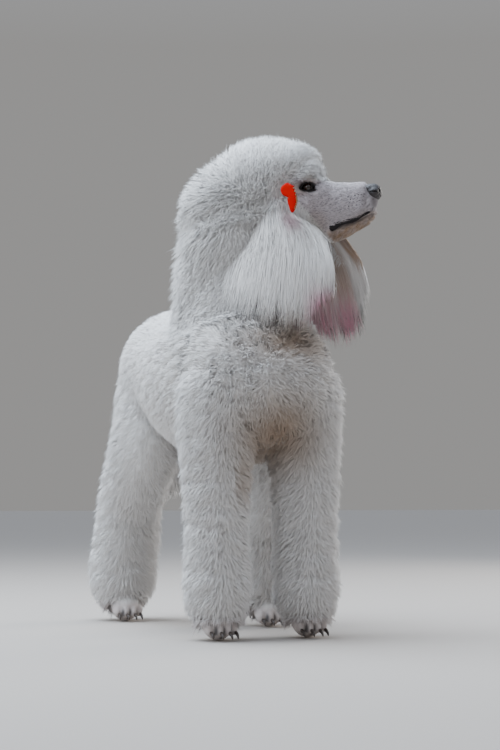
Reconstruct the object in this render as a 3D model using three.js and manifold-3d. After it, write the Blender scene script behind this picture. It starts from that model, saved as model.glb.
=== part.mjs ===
// A white standard poodle in a fluffy companion clip, standing, with its head turned to its left.
// Millimetres, +Z up. The dog faces -Y, its left side is +X and the floor is Z = 0.
// The body is modelled as one whole, skin first and the coat over it, and is then parted by thin cuts.
import * as THREE from "three";
import { mergeVertices } from "three/addons/utils/BufferGeometryUtils.js";
import Module from "manifold-3d";

const wasm = await Module();
wasm.setup();

// Driving sizes of the dog, bare of its coat
const WITHERS = 600; // floor to the top of the shoulder
const BODY_LENGTH = 620; // breastbone to the point of the rump
const CHEST_WIDTH = 236;
const HEAD_LENGTH = 250; // back of the skull to the tip of the nose
const BREASTBONE_Y = -300;

// How the head is carried
const EYE_LINE = [91, -238, 802]; // midway between the eyes
const HEAD_TURN = THREE.MathUtils.degToRad(52); // to the dog's left

// The coat
const BODY_COAT = 30;
const CHEST_COAT = 38;
const NAPE_COAT = 80;
const NECK_SIDE_COAT = 26;
const LEG_COAT = 38;
const CROWN_COAT = 58;
const TAIL_COAT = 34;

const CORE_SHARE = 0.5; // the solid heart of the coat, as a share of its depth

const CUT = 0.3; // gap left between two nodes that meet
const BIG = 2000; // larger than the dog, for the tools that part it

const V = (x, y, z) => new THREE.Vector3(x, y, z);
const X_AXIS = V(1, 0, 0);
const DOWN = V(0, 0, -1);

// Materials, with the colours of the photograph
const coatWhite = new THREE.MeshStandardMaterial({ color: 0xe9e6e2, roughness: 0.9, metalness: 0 });
const faceSkin = new THREE.MeshStandardMaterial({ color: 0xb5aaa6, roughness: 0.75, metalness: 0 });
const noseLeather = new THREE.MeshStandardMaterial({ color: 0x1d1a1b, roughness: 0.4, metalness: 0 });
const eyeDark = new THREE.MeshStandardMaterial({ color: 0x140d0a, roughness: 0.1, metalness: 0 });
const clawHorn = new THREE.MeshStandardMaterial({ color: 0x3a2f2b, roughness: 0.5, metalness: 0 });
const clipRed = new THREE.MeshStandardMaterial({ color: 0xd9120c, roughness: 0.35, metalness: 0 });

// Frames that carry the head and its pieces
const dog = new THREE.Group();
const headFrame = new THREE.Group();
headFrame.position.set(...EYE_LINE);
headFrame.rotation.z = HEAD_TURN;
dog.add(headFrame);
dog.updateMatrixWorld(true);

// A point of the head, given forward, left and up of the middle of the eyes
function onHead(forward, left, up) {
  return V(left, -forward, up).applyMatrix4(headFrame.matrixWorld);
}

// A direction of the head, given forward, left and up
function headward(forward, left, up) {
  return V(left, -forward, up).transformDirection(headFrame.matrixWorld);
}

// A closed solid of a three.js geometry, with its faces pointing out
function solid(geometry) {
  const bare = geometry.clone();
  bare.deleteAttribute("normal");
  bare.deleteAttribute("uv");
  const merged = mergeVertices(bare, 1e-4);
  const triVerts = new Uint32Array(merged.index.array);
  const vertProperties = new Float32Array(merged.attributes.position.array);
  const made = new wasm.Manifold(new wasm.Mesh({ numProp: 3, vertProperties, triVerts }));
  if (made.volume() > 0) return made;
  for (let i = 0; i < triVerts.length; i += 3)
    [triVerts[i + 1], triVerts[i + 2]] = [triVerts[i + 2], triVerts[i + 1]];
  return new wasm.Manifold(new wasm.Mesh({ numProp: 3, vertProperties, triVerts }));
}

// The union of many solids
const join = (solids) => wasm.Manifold.union(solids);

// The largest closed surface of a solid
function largest(body) {
  const bodies = body.decompose();
  return bodies.reduce((a, b) => (b.volume() > a.volume() ? b : a));
}

// The solid as a three.js geometry
function geometryOf(body) {
  const mesh = body.getMesh();
  const geometry = new THREE.BufferGeometry();
  geometry.setAttribute("position", new THREE.BufferAttribute(mesh.vertProperties, 3));
  geometry.setIndex(new THREE.BufferAttribute(mesh.triVerts, 1));
  return geometry;
}

// Adds a solid given in the dog's frame to a group, as the named node
function addNode(name, body, material, group = dog) {
  group.updateWorldMatrix(true, false);
  const geometry = geometryOf(largest(body));
  geometry.applyMatrix4(group.matrixWorld.clone().invert());
  geometry.computeVertexNormals();
  const mesh = new THREE.Mesh(geometry, material);
  mesh.name = name;
  group.add(mesh);
  return mesh;
}

// All that lies on the far side of a plane, as one large block. back moves its face along the normal.
function beyond(point, normal, back = CUT / 2) {
  const n = normal.clone().normalize();
  const block = new THREE.BoxGeometry(BIG, BIG, BIG);
  block.translate(0, 0, BIG / 2 + back);
  block.applyQuaternion(new THREE.Quaternion().setFromUnitVectors(V(0, 0, 1), n));
  block.translate(point.x, point.y, point.z);
  return solid(block);
}

// A rounded tube of flesh. Each station has a place, half-sizes to the side, up and down, and where the
// body twists, its own side direction. The ends close over the first and last part of the length. bow bends
// a flat section into an arc.
class Hide {
  constructor(stations, { side = X_AXIS, startCap = 0.1, endCap = 0.1, square = 2, bow = 0 } = {}) {
    this.path = new THREE.CatmullRomCurve3(stations.map((s) => s.at));
    this.size = new THREE.CatmullRomCurve3(stations.map((s) => V(s.wide, s.up, s.down ?? s.up)));
    this.sides = new THREE.CatmullRomCurve3(stations.map((s) => s.side ?? side));
    Object.assign(this, { startCap, endCap, square, bow });
  }

  // Where a share t of the length lies along the curve, how wide the end is and how far pushed out
  along(t) {
    if (t < this.startCap) {
      const turn = (Math.PI / 2) * (t / this.startCap);
      return { t: this.startCap * (1 - Math.cos(turn)), wide: Math.sin(turn), push: -Math.cos(turn) };
    }
    if (t > 1 - this.endCap) {
      const turn = (Math.PI / 2) * ((1 - t) / this.endCap);
      return { t: 1 - this.endCap * (1 - Math.cos(turn)), wide: Math.sin(turn), push: Math.cos(turn) };
    }
    return { t, wide: 1, push: 0 };
  }

  // The surface point at a share t of the length and an angle round it, raised by depth
  point(t, angle, depth = 0) {
    const end = this.along(t);
    const tangent = this.path.getTangent(end.t);
    const side = this.sides.getPoint(end.t);
    side.addScaledVector(tangent, -side.dot(tangent)).normalize();
    const up = side.clone().cross(tangent);
    const size = this.size.getPoint(end.t);
    const c = Math.cos(angle);
    const s = Math.sin(angle);
    const reach = (Math.abs(c) ** this.square + Math.abs(s) ** this.square) ** (-1 / this.square);
    const across = reach * c * (size.x + depth) * end.wide;
    const thick = reach * s * ((s > 0 ? size.y : size.z) + depth) * end.wide;
    const rise = thick + this.bow * (across / size.x) ** 2;
    return this.path
      .getPoint(end.t)
      .addScaledVector(tangent, end.push * depth)
      .addScaledVector(side, across)
      .addScaledVector(up, rise);
  }

  // The outward normal at a surface point, from its neighbours
  normal(t, angle, depth = 0) {
    const step = 0.01;
    const t0 = THREE.MathUtils.clamp(t, step, 1 - step);
    const lengthwise = this.point(t0 + step, angle, depth).sub(this.point(t0 - step, angle, depth));
    const round = this.point(t0, angle + step, depth).sub(this.point(t0, angle - step, depth));
    return lengthwise.cross(round).normalize();
  }

  // The closed skin as a solid. depth is a number or a function of the share of the length and the angle.
  body(around, rings, depth = 0) {
    const geometry = new THREE.SphereGeometry(1, around, rings);
    const uv = geometry.attributes.uv;
    const position = geometry.attributes.position;
    for (let i = 0; i < position.count; i++) {
      const t = Math.round((1 - uv.getY(i)) * rings) / rings;
      const pole = t === 0 || t === 1;
      const angle = pole ? 0 : ((2 * Math.PI) / around) * (Math.round(uv.getX(i) * around) % around);
      const p = this.point(t, angle, typeof depth === "function" ? depth(t, angle) : depth);
      position.setXYZ(i, p.x, p.y, p.z);
    }
    return solid(geometry);
  }
}

// Torso: shares of the body length, then top and bottom as shares of the withers, then of the chest width
const torso = new Hide(
  [
    [0.0, 0.835, 0.69, 0.56],
    [0.07, 0.9, 0.62, 0.76],
    [0.18, 0.97, 0.575, 0.92],
    [0.34, 1.0, 0.555, 1.0],
    [0.52, 0.99, 0.58, 1.0],
    [0.7, 0.99, 0.64, 0.92],
    [0.85, 1.0, 0.67, 0.9],
    [0.95, 0.965, 0.69, 0.76],
    [1.0, 0.93, 0.72, 0.56],
  ].map(([share, top, bottom, width]) => ({
    at: V(0, BREASTBONE_Y + share * BODY_LENGTH, (WITHERS * (top + bottom)) / 2),
    wide: (CHEST_WIDTH / 2) * width,
    up: (WITHERS * (top - bottom)) / 2,
  })),
  { startCap: 0.125, endCap: 0.125 },
);
const torsoCoat = (t) => THREE.MathUtils.lerp(CHEST_COAT, BODY_COAT, Math.min(1, t / 0.3));

// Neck: it rises from the shoulders and turns with the head. Its upper side is the throat.
const SKULL_BASE = onHead(-0.38 * HEAD_LENGTH, 0, -0.2 * HEAD_LENGTH);
const neck = new Hide(
  [
    { at: V(0, -105, 480), wide: 96, up: 118, down: 110, side: X_AXIS },
    { at: V(0, -130, 560), wide: 88, up: 104, down: 100, side: X_AXIS },
    { at: V(1, -148, 640), wide: 76, up: 82, down: 88, side: X_AXIS.clone().lerp(headward(0, 1, 0), 0.35) },
    { at: SKULL_BASE.clone().add(V(-4, 6, -45)), wide: 66, up: 68, down: 78, side: headward(0, 1, 0) },
    { at: SKULL_BASE.clone().add(V(0, 0, 40)), wide: 54, up: 56, down: 60, side: headward(0, 1, 0) },
  ],
  { startCap: 0.12, endCap: 0.15 },
);
function neckCoat(t, angle) {
  const nape = Math.max(0, -Math.sin(angle)) ** 0.7;
  const side = THREE.MathUtils.lerp(CHEST_COAT, NECK_SIDE_COAT, Math.min(1, t / 0.6));
  return THREE.MathUtils.lerp(side, NAPE_COAT, nape * Math.min(1, 0.25 + t * 1.6));
}

// Head: shares of the head length ahead of the eyes, then the middle, half-width, top and bottom
const HEAD_STATIONS = [
  [-0.47, -0.02, 0.11, 0.15, 0.14],
  [-0.37, -0.02, 0.185, 0.19, 0.24],
  [-0.24, -0.04, 0.215, 0.23, 0.3],
  [-0.1, -0.08, 0.205, 0.245, 0.32],
  [0.03, -0.12, 0.175, 0.19, 0.29],
  [0.15, -0.15, 0.135, 0.187, 0.238],
  [0.28, -0.136, 0.114, 0.168, 0.188],
  [0.4, -0.108, 0.098, 0.138, 0.156],
  [0.468, -0.09, 0.08, 0.112, 0.13],
];
const head = new Hide(
  HEAD_STATIONS.map(([ahead, middle, width, top, bottom]) => ({
    at: onHead(ahead * HEAD_LENGTH, 0, middle * HEAD_LENGTH),
    wide: width * HEAD_LENGTH,
    up: top * HEAD_LENGTH,
    down: bottom * HEAD_LENGTH,
  })),
  { side: headward(0, -1, 0), startCap: 0.1, endCap: 0.06, square: 2.25 },
);

// Crown: the dome of the skull that carries the topknot, cut high over the eyes
const crown = new Hide(
  [
    { at: onHead(-176, 0, -64), wide: 54, up: 36, down: 54 },
    { at: onHead(-128, 0, -16), wide: 58, up: 36, down: 56 },
    { at: onHead(-76, 0, 12), wide: 58, up: 42, down: 50 },
    { at: onHead(-20, 0, 34), wide: 46, up: 22, down: 30 },
  ],
  { side: headward(0, -1, 0), startCap: 0.3, endCap: 0.3 },
);
function crownCoat(t, angle) {
  const front = THREE.MathUtils.smoothstep(t, 0.45, 1);
  const top = THREE.MathUtils.lerp(CROWN_COAT, CROWN_COAT * 0.72, front);
  const side = THREE.MathUtils.lerp(CROWN_COAT * 0.78, CROWN_COAT * 0.42, front);
  const bottom = THREE.MathUtils.lerp(CROWN_COAT * 0.7, 4, front);
  const rise = Math.sin(angle);
  return THREE.MathUtils.lerp(side, rise > 0 ? top : bottom, Math.abs(rise));
}

// Legs: stations down the limb, each with its place and its half-sizes to the side and fore and aft
const FRONT_FEET = { left: V(89, -212, 0), right: V(-83, -222, 0) };
const HIND_FEET = { left: V(118, 62, 0), right: V(-99, 306, 0) };

function frontLeg(foot) {
  const inward = -Math.sign(foot.x);
  return new Hide(
    [
      { at: V(foot.x + inward * 8, foot.y + 18, 475), wide: 40, up: 58 },
      { at: V(foot.x + inward * 4, foot.y + 16, 370), wide: 37, up: 48 },
      { at: V(foot.x, foot.y + 12, 280), wide: 27, up: 31 },
      { at: V(foot.x, foot.y + 10, 180), wide: 23, up: 26 },
      { at: V(foot.x, foot.y + 8, 90), wide: 26, up: 29 },
      { at: V(foot.x, foot.y + 4, 44), wide: 28, up: 31 },
    ],
    { startCap: 0.1, endCap: 0.22 },
  );
}

function hindLeg(foot, hipY) {
  const inward = -Math.sign(foot.x);
  const hip = V(Math.sign(foot.x) * 54, hipY, 500);
  const knee = V(foot.x + inward * 12, (hip.y + foot.y) / 2 - 42, 345);
  return new Hide(
    [
      { at: hip, wide: 46, up: 84 },
      { at: V((hip.x + knee.x) / 2, (hip.y + knee.y) / 2 + 4, 425), wide: 40, up: 74 },
      { at: knee, wide: 34, up: 54 },
      { at: V(foot.x + inward * 10, foot.y - 2, 250), wide: 30, up: 38 },
      { at: V(foot.x + inward * 8, foot.y + 22, 168), wide: 33, up: 36 },
      { at: V(foot.x + inward * 2, foot.y + 30, 90), wide: 35, up: 36 },
      { at: V(foot.x, foot.y + 20, 46), wide: 34, up: 34 },
    ],
    { startCap: 0.1, endCap: 0.18 },
  );
}

const legs = {
  front_leg_left: frontLeg(FRONT_FEET.left),
  front_leg_right: frontLeg(FRONT_FEET.right),
  hind_leg_left: hindLeg(HIND_FEET.left, 195),
  hind_leg_right: hindLeg(HIND_FEET.right, 212),
};

// Tail: bare at the root, a hanging brush below
const tail = new Hide(
  [
    { at: V(0, 296, 556), wide: 19, up: 19 },
    { at: V(2, 345, 552), wide: 16, up: 16 },
    { at: V(5, 378, 505), wide: 14, up: 14 },
    { at: V(8, 388, 430), wide: 12, up: 12 },
    { at: V(10, 386, 350), wide: 10, up: 10 },
    { at: V(10, 380, 290), wide: 7, up: 7 },
  ],
  { startCap: 0.04, endCap: 0.06 },
);
const tailCoat = (t) => TAIL_COAT * THREE.MathUtils.smoothstep(t, 0.22, 0.5) + 3;

// A ball or egg of the head, with its half-sizes ahead, aside and up
function headEgg(place, sizes, around = 12, rings = 8, turn = 0) {
  const egg = new THREE.SphereGeometry(1, around, rings);
  egg.rotateX(Math.PI / 2);
  egg.scale(sizes[1], sizes[0], sizes[2]);
  egg.rotateZ(HEAD_TURN + turn);
  const at = onHead(...place);
  egg.translate(at.x, at.y, at.z);
  return solid(egg);
}

// Eyes: a ball in a socket, with lids that leave an almond opening
const EYE_BALL = 12;
const EYE_DEPTH = 30; // middle of the ball from the midline
const EYE_LOOK = 0.42; // how far each eye turns to the front, in radians
const eyeBall = (side, grow = 0) =>
  headEgg([-1, side * EYE_DEPTH, -3], Array(3).fill(EYE_BALL + grow), 10, 7);
const lidBall = (side) => headEgg([-1, side * EYE_DEPTH, -3], Array(3).fill(EYE_BALL + 3.4), 10, 7);
const lidOpening = (side) =>
  headEgg([4, side * (EYE_DEPTH + 12), -3], [11.5, 12, 6.8], 8, 6, -side * EYE_LOOK);

// Nose: leather with two nostrils and a groove under the middle
function nose(grow = 0) {
  const pad = headEgg([112, 0, -9], [14 + grow, 18 + grow, 14.5 + grow], 10, 7);
  const lower = headEgg([110, 0, -20], [9 + grow, 9 + grow, 10 + grow], 8, 6);
  return join([pad, lower]);
}
function nostrils() {
  const pits = [];
  for (const side of [-1, 1]) {
    pits.push(headEgg([125, side * 7.5, -9], [7, 3.6, 4.4], 6, 5));
  }
  pits.push(headEgg([122, 0, -24], [9, 0.8, 13], 6, 5));
  return join(pits);
}

// Mouth: the line where the lips meet, from its corner to the front
const MOUTH_CORNER = [39, -76];
const MOUTH_FRONT = [117, -49];
const MOUTH_PLANE = [
  onHead(MOUTH_CORNER[0], 0, MOUTH_CORNER[1]),
  headward(MOUTH_FRONT[1] - MOUTH_CORNER[1], 0, MOUTH_CORNER[0] - MOUTH_FRONT[0]),
];
const JAW_PLANE = [onHead(MOUTH_CORNER[0], 0, MOUTH_CORNER[1]), headward(1, 0, 0.35)];

// The point of the face nearest to a place seen from the side
function onFace(place, up, side) {
  const goal = onHead(place, side * 60, up);
  let best = null;
  for (let i = 30; i <= 98; i++)
    for (let j = 0; j < 60; j++) {
      const p = head.point(i / 100, (j / 60) * 2 * Math.PI);
      const off = p.clone().sub(goal);
      const ahead = off.dot(headward(1, 0, 0));
      const away = ahead ** 2 + off.z ** 2 + 0.02 * off.lengthSq();
      if (best === null || away < best.away) best = { p, away };
    }
  return best.p;
}

function lips() {
  const rolls = [];
  for (const side of [-1, 1])
    for (const lift of [3.2, -3.4]) {
      const stations = [0, 0.3, 0.6, 0.85, 1].map((t) => ({
        at: onFace(
          THREE.MathUtils.lerp(MOUTH_CORNER[0], MOUTH_FRONT[0] - 3, t),
          THREE.MathUtils.lerp(MOUTH_CORNER[1], MOUTH_FRONT[1] - 1, t) + lift,
          side * (t === 1 ? 0.45 : 1),
        ),
        wide: 3.6 + t,
        up: 3.6 + t,
      }));
      rolls.push(new Hide(stations, { startCap: 0.15, endCap: 0.15, side: headward(0, 0, 1) }).body(5, 4));
    }
  return join(rolls);
}

// Seeded chance, the same on every build
let seed = 7;
function chance() {
  seed = (seed * 16807) % 2147483647;
  return seed / 2147483647;
}
const vary = (share) => 1 + share * (2 * chance() - 1);

// A flat, tapered lock. It starts under its root, leans out along normal and lies along lie to its tip.
function lock({ root, normal, lie, sink, height, length, wide, thick }, grow = 0) {
  const start = root.clone().addScaledVector(normal, -sink);
  const belly = root.clone().addScaledVector(normal, height).addScaledVector(lie, length * 0.42);
  const tip = root.clone().addScaledVector(normal, height * 0.5).addScaledVector(lie, length);
  return new Hide(
    [
      { at: start, wide: wide * 0.75, up: thick * 0.8 },
      { at: belly, wide, up: thick },
      { at: tip, wide: wide * 0.45, up: thick * 0.4 },
    ],
    { side: normal.clone().cross(lie).normalize(), startCap: 0.35, endCap: 0.3 },
  ).body(5, 3, grow);
}

// A rounded clump of curls, half sunk in the core, that leans the way the coat lies. Its rim bends down,
// so that it hugs the round body.
const CLUMP_LEAN = 0.15;
const HUG_RADIUS = 150;
function clump({ root, normal, lie, wide, rise }) {
  const ball = new THREE.IcosahedronGeometry(1, 0);
  ball.rotateX(chance() * Math.PI);
  ball.rotateZ(chance() * Math.PI);
  ball.scale(wide * vary(0.1), wide * vary(0.1), rise * 1.06 * vary(0.1));
  const spots = ball.attributes.position;
  for (let i = 0; i < spots.count; i++) {
    const drop = (spots.getX(i) ** 2 + spots.getY(i) ** 2) / (2 * HUG_RADIUS);
    spots.setZ(i, spots.getZ(i) - drop);
  }
  const lean = normal.clone().addScaledVector(lie, CLUMP_LEAN).normalize();
  ball.applyQuaternion(new THREE.Quaternion().setFromUnitVectors(V(0, 0, 1), lean));
  ball.translate(root.x, root.y, root.z);
  return solid(ball);
}

// Places for locks set close over a hide in staggered rows, from one share of its length to another
function coatOf(hide, { rows, columns, from = 0, to = 1, coat, lie, scatter }) {
  const places = [];
  for (let row = 0; row < rows; row++) {
    const middle = from + ((to - from) * (row + 0.5)) / rows;
    const round = Math.max(3, Math.round(columns * hide.along(middle).wide));
    for (let column = 0; column < round; column++) {
      const t = middle + (0.25 * (to - from) * (chance() - 0.5)) / rows;
      const angle = ((column + 0.5 * (row % 2) + 0.25 * (chance() - 0.5)) / round) * 2 * Math.PI;
      const depth = typeof coat === "function" ? coat(t, angle) : coat;
      const root = hide.point(t, angle, depth * CORE_SHARE);
      const normal = hide.normal(t, angle, depth * CORE_SHARE);
      const flat = lie.clone().addScaledVector(normal, -lie.dot(normal)).normalize();
      flat.addScaledVector(normal.clone().cross(flat), scatter * 2 * (chance() - 0.5)).normalize();
      const rise = depth * (1 - CORE_SHARE);
      places.push({ root, normal, lie: flat, sink: depth * CORE_SHARE * 0.6, rise });
    }
  }
  return places;
}

// Half-width of a clump on the body, the neck and the crown
const BODY_CURL = 57;
const NECK_CURL = 48;
const CROWN_CURL = 54;
const LEG_LOCK = 124; // length of a lock on the legs

function bodyLocks() {
  const bodyLie = V(0, 0.45, -0.9);
  const crownLie = headward(-0.5, 0, 0.85);
  const curls = { rows: 6, columns: 7, from: -0.04, to: 1.02, coat: torsoCoat, lie: bodyLie, scatter: 1.4 };
  const mane = { rows: 4, columns: 6, from: 0.18, to: 0.95, coat: neckCoat, lie: DOWN, scatter: 0.9 };
  const plush = { rows: 3, columns: 7, from: -0.03, coat: crownCoat, lie: crownLie, scatter: 0.8 };
  return [
    ...coatOf(torso, curls).map((at) => clump({ wide: BODY_CURL, ...at })),
    ...coatOf(neck, mane).map((at) => clump({ wide: NECK_CURL, ...at })),
    ...coatOf(crown, plush).map((at) => clump({ wide: CROWN_CURL, ...at })),
  ];
}

function legLocks([name, leg]) {
  const hind = name.startsWith("hind");
  const columns = hind ? 6 : 5;
  const feathers = { rows: 4, columns, from: 0.03, to: 0.88, coat: LEG_COAT, lie: DOWN, scatter: 0.25 };
  return coatOf(leg, feathers).map((at) =>
    lock({
      ...at,
      wide: (hind ? 37 : 32) * vary(0.08),
      thick: at.rise * 0.85 * vary(0.1),
      height: at.rise * 0.15,
      length: Math.min(LEG_LOCK * vary(0.12), at.root.z - 30),
    }),
  );
}

const scaled = (coat, share) => (t, angle) => share * (typeof coat === "function" ? coat(t, angle) : coat);

// The flesh and the coat of the whole dog but for its ears, tail and paws
function wholeBody() {
  const cores = [
    torso.body(10, 9, scaled(torsoCoat, CORE_SHARE)),
    neck.body(10, 7, scaled(neckCoat, CORE_SHARE)),
    head.body(14, 15),
    crown.body(10, 7, scaled(crownCoat, CORE_SHARE)),
    lips(),
    ...[-1, 1].map(lidBall),
    ...Object.values(legs).map((leg) => leg.body(8, 9, CORE_SHARE * LEG_COAT)),
  ];
  const core = join(cores);
  // Only locks that show are kept
  const locks = [...bodyLocks(), ...Object.entries(legs).flatMap(legLocks)].filter((made) => {
    const shown = made.subtract(core).volume() / made.volume();
    return shown > 0.4 && shown < 0.97;
  });
  return join([core, ...locks]);
}

// Ears: a thin leather that hangs from beside the eye, hollow on the side towards the neck
const EAR_ROOT = { ahead: -46, out: 58, up: -24 };
const EAR_LEATHER = 160;
const FAR_EAR_MORE = 14; // its hair hangs a little longer
const EAR_ROOM = 0.7; // gap round the ear, whose thin edge is the least exact
const EAR_FORWARD = { left: 38, right: 0 }; // the far ear swings forward a little

function earSheet(side, grow = 0) {
  const swing = side > 0 ? EAR_FORWARD.left : EAR_FORWARD.right;
  const at = (ahead, out, drop) =>
    onHead(
      EAR_ROOT.ahead + ahead + (swing * drop) / EAR_LEATHER,
      side * (EAR_ROOT.out + out),
      EAR_ROOT.up - drop,
    );
  return new Hide(
    [
      { at: at(0, 0, -8), wide: 26, up: 12 },
      { at: at(0, 12, 34), wide: 38, up: 15 },
      { at: at(6, 26, 82), wide: 66, up: 15 },
      { at: at(8, 34, 130), wide: 82, up: 14 },
      { at: at(6, 36, EAR_LEATHER), wide: 76, up: 11 },
    ],
    { side: headward(1, 0, 0), startCap: 0.08, endCap: 0.12, bow: -side * 24 },
  );
}

// Paws: a pad and four toes, each with its claw, cut flat where they stand and where the leg meets them
const PAW_TOP = 42;
const TOES = [
  { aside: -21, ahead: 16 },
  { aside: -7.5, ahead: 27 },
  { aside: 7.5, ahead: 27 },
  { aside: 21, ahead: 16 },
];

function toe(foot, { aside, ahead }) {
  const at = (forward, up, spread = 1) => V(foot.x + aside * spread, foot.y - forward, up);
  return new Hide(
    [
      { at: at(-8, 26, 0.8), wide: 9, up: 11 },
      { at: at(ahead * 0.6, 25), wide: 9.5, up: 12 },
      { at: at(ahead + 8, 12, 1.05), wide: 9, up: 12.5 },
    ],
    { startCap: 0.3, endCap: 0.4 },
  );
}

function claw(foot, { aside, ahead }) {
  const at = (forward, up) => V(foot.x + aside * 1.08, foot.y - ahead - forward, up);
  return new Hide(
    [
      { at: at(12, 15), wide: 3.2, up: 4 },
      { at: at(21, 12), wide: 2.6, up: 3.2 },
      { at: at(27, 4.5), wide: 1.2, up: 1.4 },
    ],
    { startCap: 0.15, endCap: 0.25 },
  ).body(5, 4);
}

// An upright egg over a foot
function footEgg(foot, back, middle, sizes, around, rings) {
  const egg = new THREE.SphereGeometry(1, around, rings);
  egg.scale(...sizes);
  egg.translate(foot.x, foot.y + back, middle);
  return solid(egg);
}

function paw(foot, grow = 0) {
  const pad = footEgg(foot, 4, 26, [29 + grow, 34 + grow, 31 + grow], 10, 7);
  const whole = join([pad, ...TOES.map((t) => toe(foot, t).body(5, 4, grow))]);
  return whole.subtract(beyond(V(0, 0, PAW_TOP), V(0, 0, 1), grow));
}

// The room in the leg's hair for its paw
const pawRoom = (foot) =>
  footEgg(foot, -3, 22, [40, 48, 38], 10, 6).subtract(beyond(V(0, 0, PAW_TOP), V(0, 0, 1), CUT));

// Ornament: a red clip in the hair over the right temple, round above and drawn out below
function hairClip(grow = 0) {
  return new Hide(
    [
      { at: onHead(-29, -88, -6), wide: 12, up: 4 },
      { at: onHead(-25, -92, -25), wide: 8, up: 3.5 },
      { at: onHead(-19, -94, -51), wide: 3.5, up: 2.5 },
    ],
    { side: headward(1, 0, 0), startCap: 0.35, endCap: 0.3 },
  ).body(10, 8, grow);
}

// Long straight locks that fan down over the outside of an ear, past the end of its leather
const EAR_FAN = [
  { t: 0.34, spread: 0.55, count: 3, length: 84, wide: 26 },
  { t: 0.62, spread: 0.8, count: 4, length: 92, wide: 27 },
  { t: 0.86, spread: 0.8, count: 5, length: 84, wide: 24 },
];
function fanOf(side) {
  const sheet = earSheet(side);
  const locks = [];
  for (const { t, spread, count, length, wide } of EAR_FAN)
    for (let i = 0; i < count; i++) {
      const across = spread * ((2 * (i + 0.5 + 0.2 * (chance() - 0.5))) / count - 1);
      const swing = side > 0 ? 0.12 : 0;
      locks.push({
        root: sheet.point(t, side * Math.acos(across), -2),
        normal: headward(0, side, 0),
        lie: headward(across * 0.34 + swing, side * 0.06, -1),
        sink: 6,
        height: 6,
        thick: 9 * vary(0.1),
        wide: wide * vary(0.12),
        length: length * vary(0.08) + (side > 0 ? FAR_EAR_MORE : 0),
      });
    }
  return locks;
}

// The brush of the tail
function brushOf(hide) {
  const brush = { rows: 3, columns: 3, from: 0.4, to: 0.92, coat: tailCoat, lie: DOWN, scatter: 0.3 };
  const sizes = () => ({ wide: 24 * vary(0.1), thick: 12, height: 5, length: 74 * vary(0.1) });
  return coatOf(hide, brush).map((at) => ({ ...at, ...sizes() }));
}

// Putting it together
const earSides = { ear_left: 1, ear_right: -1 };
const feet = {
  paw_front_left: FRONT_FEET.left,
  paw_front_right: FRONT_FEET.right,
  paw_hind_left: HIND_FEET.left,
  paw_hind_right: HIND_FEET.right,
};

const earLocks = { [-1]: fanOf(-1), [1]: fanOf(1) };
const earBody = (side, grow = 0) =>
  join([earSheet(side).body(10, 7, grow), ...earLocks[side].map((l) => lock(l, grow))]);
const tailLocks = brushOf(tail);
const tailBody = (grow = 0) =>
  join([tail.body(8, 10, (t) => CORE_SHARE * tailCoat(t) + grow), ...tailLocks.map((l) => lock(l, grow))]);

let whole = wholeBody();
for (const side of [-1, 1]) {
  whole = whole.subtract(join([eyeBall(side, CUT), lidOpening(side), earBody(side, EAR_ROOM)]));
}
const clipNode = hairClip();
const clipRoom = hairClip(CUT);
whole = whole.subtract(join([nose(CUT), tailBody(CUT), clipRoom, ...Object.values(feet).map(pawRoom)]));

// The space of one node: all beyond each of its planes. A plane is a point and the way into the node.
const space = (planes, back) => planes.map(([p, n]) => beyond(p, n, back)).reduce((a, b) => a.intersect(b));

// Parts a node from what is left of the whole and returns the rest
function part(rest, name, planes, material, group = dog) {
  addNode(name, rest.intersect(space(planes, CUT / 2)), material, group);
  return rest.subtract(space(planes, -CUT / 2));
}

const facePlanes = [
  [onHead(-22, 0, 5), headward(0.18, 0, -0.98)],
  [onHead(-60, 0, -2), headward(0.926, 0, 0.378)],
];
const crownPlanes = [[onHead(-90, 0, -95), headward(0.34, 0, 0.94)]];
const neckPlanes = [[V(0, -100, 600), V(0, -0.5, 0.866)]];
const legPlanes = {
  front_leg_left: [
    [V(20, 0, 305), V(0.52, 0, -0.85)],
    [V(8, 0, 0), V(1, 0, 0)],
    [V(0, -110, 0), V(0, -1, 0)],
  ],
  front_leg_right: [
    [V(-20, 0, 305), V(-0.52, 0, -0.85)],
    [V(-8, 0, 0), V(-1, 0, 0)],
    [V(0, -110, 0), V(0, -1, 0)],
  ],
  hind_leg_left: [
    [V(24, 0, 345), V(0.72, 0, -0.69)],
    [V(8, 0, 0), V(1, 0, 0)],
    [V(0, -22, 0), V(0, 1, 0)],
  ],
  hind_leg_right: [
    [V(-24, 0, 345), V(-0.72, 0, -0.69)],
    [V(-8, 0, 0), V(-1, 0, 0)],
    [V(0, 60, 0), V(0, 1, 0)],
  ],
};

const jaw = whole.intersect(space([MOUTH_PLANE, JAW_PLANE], CUT / 2));
addNode("lower_jaw", jaw, faceSkin, headFrame);
whole = whole.subtract(space([MOUTH_PLANE, JAW_PLANE], -CUT / 2));
whole = part(whole, "head", facePlanes, faceSkin, headFrame);
whole = part(whole, "topknot", crownPlanes, coatWhite, headFrame);
whole = part(whole, "neck", neckPlanes, coatWhite);
for (const [name, planes] of Object.entries(legPlanes)) whole = part(whole, name, planes, coatWhite);
addNode("torso", whole, coatWhite);

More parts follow.
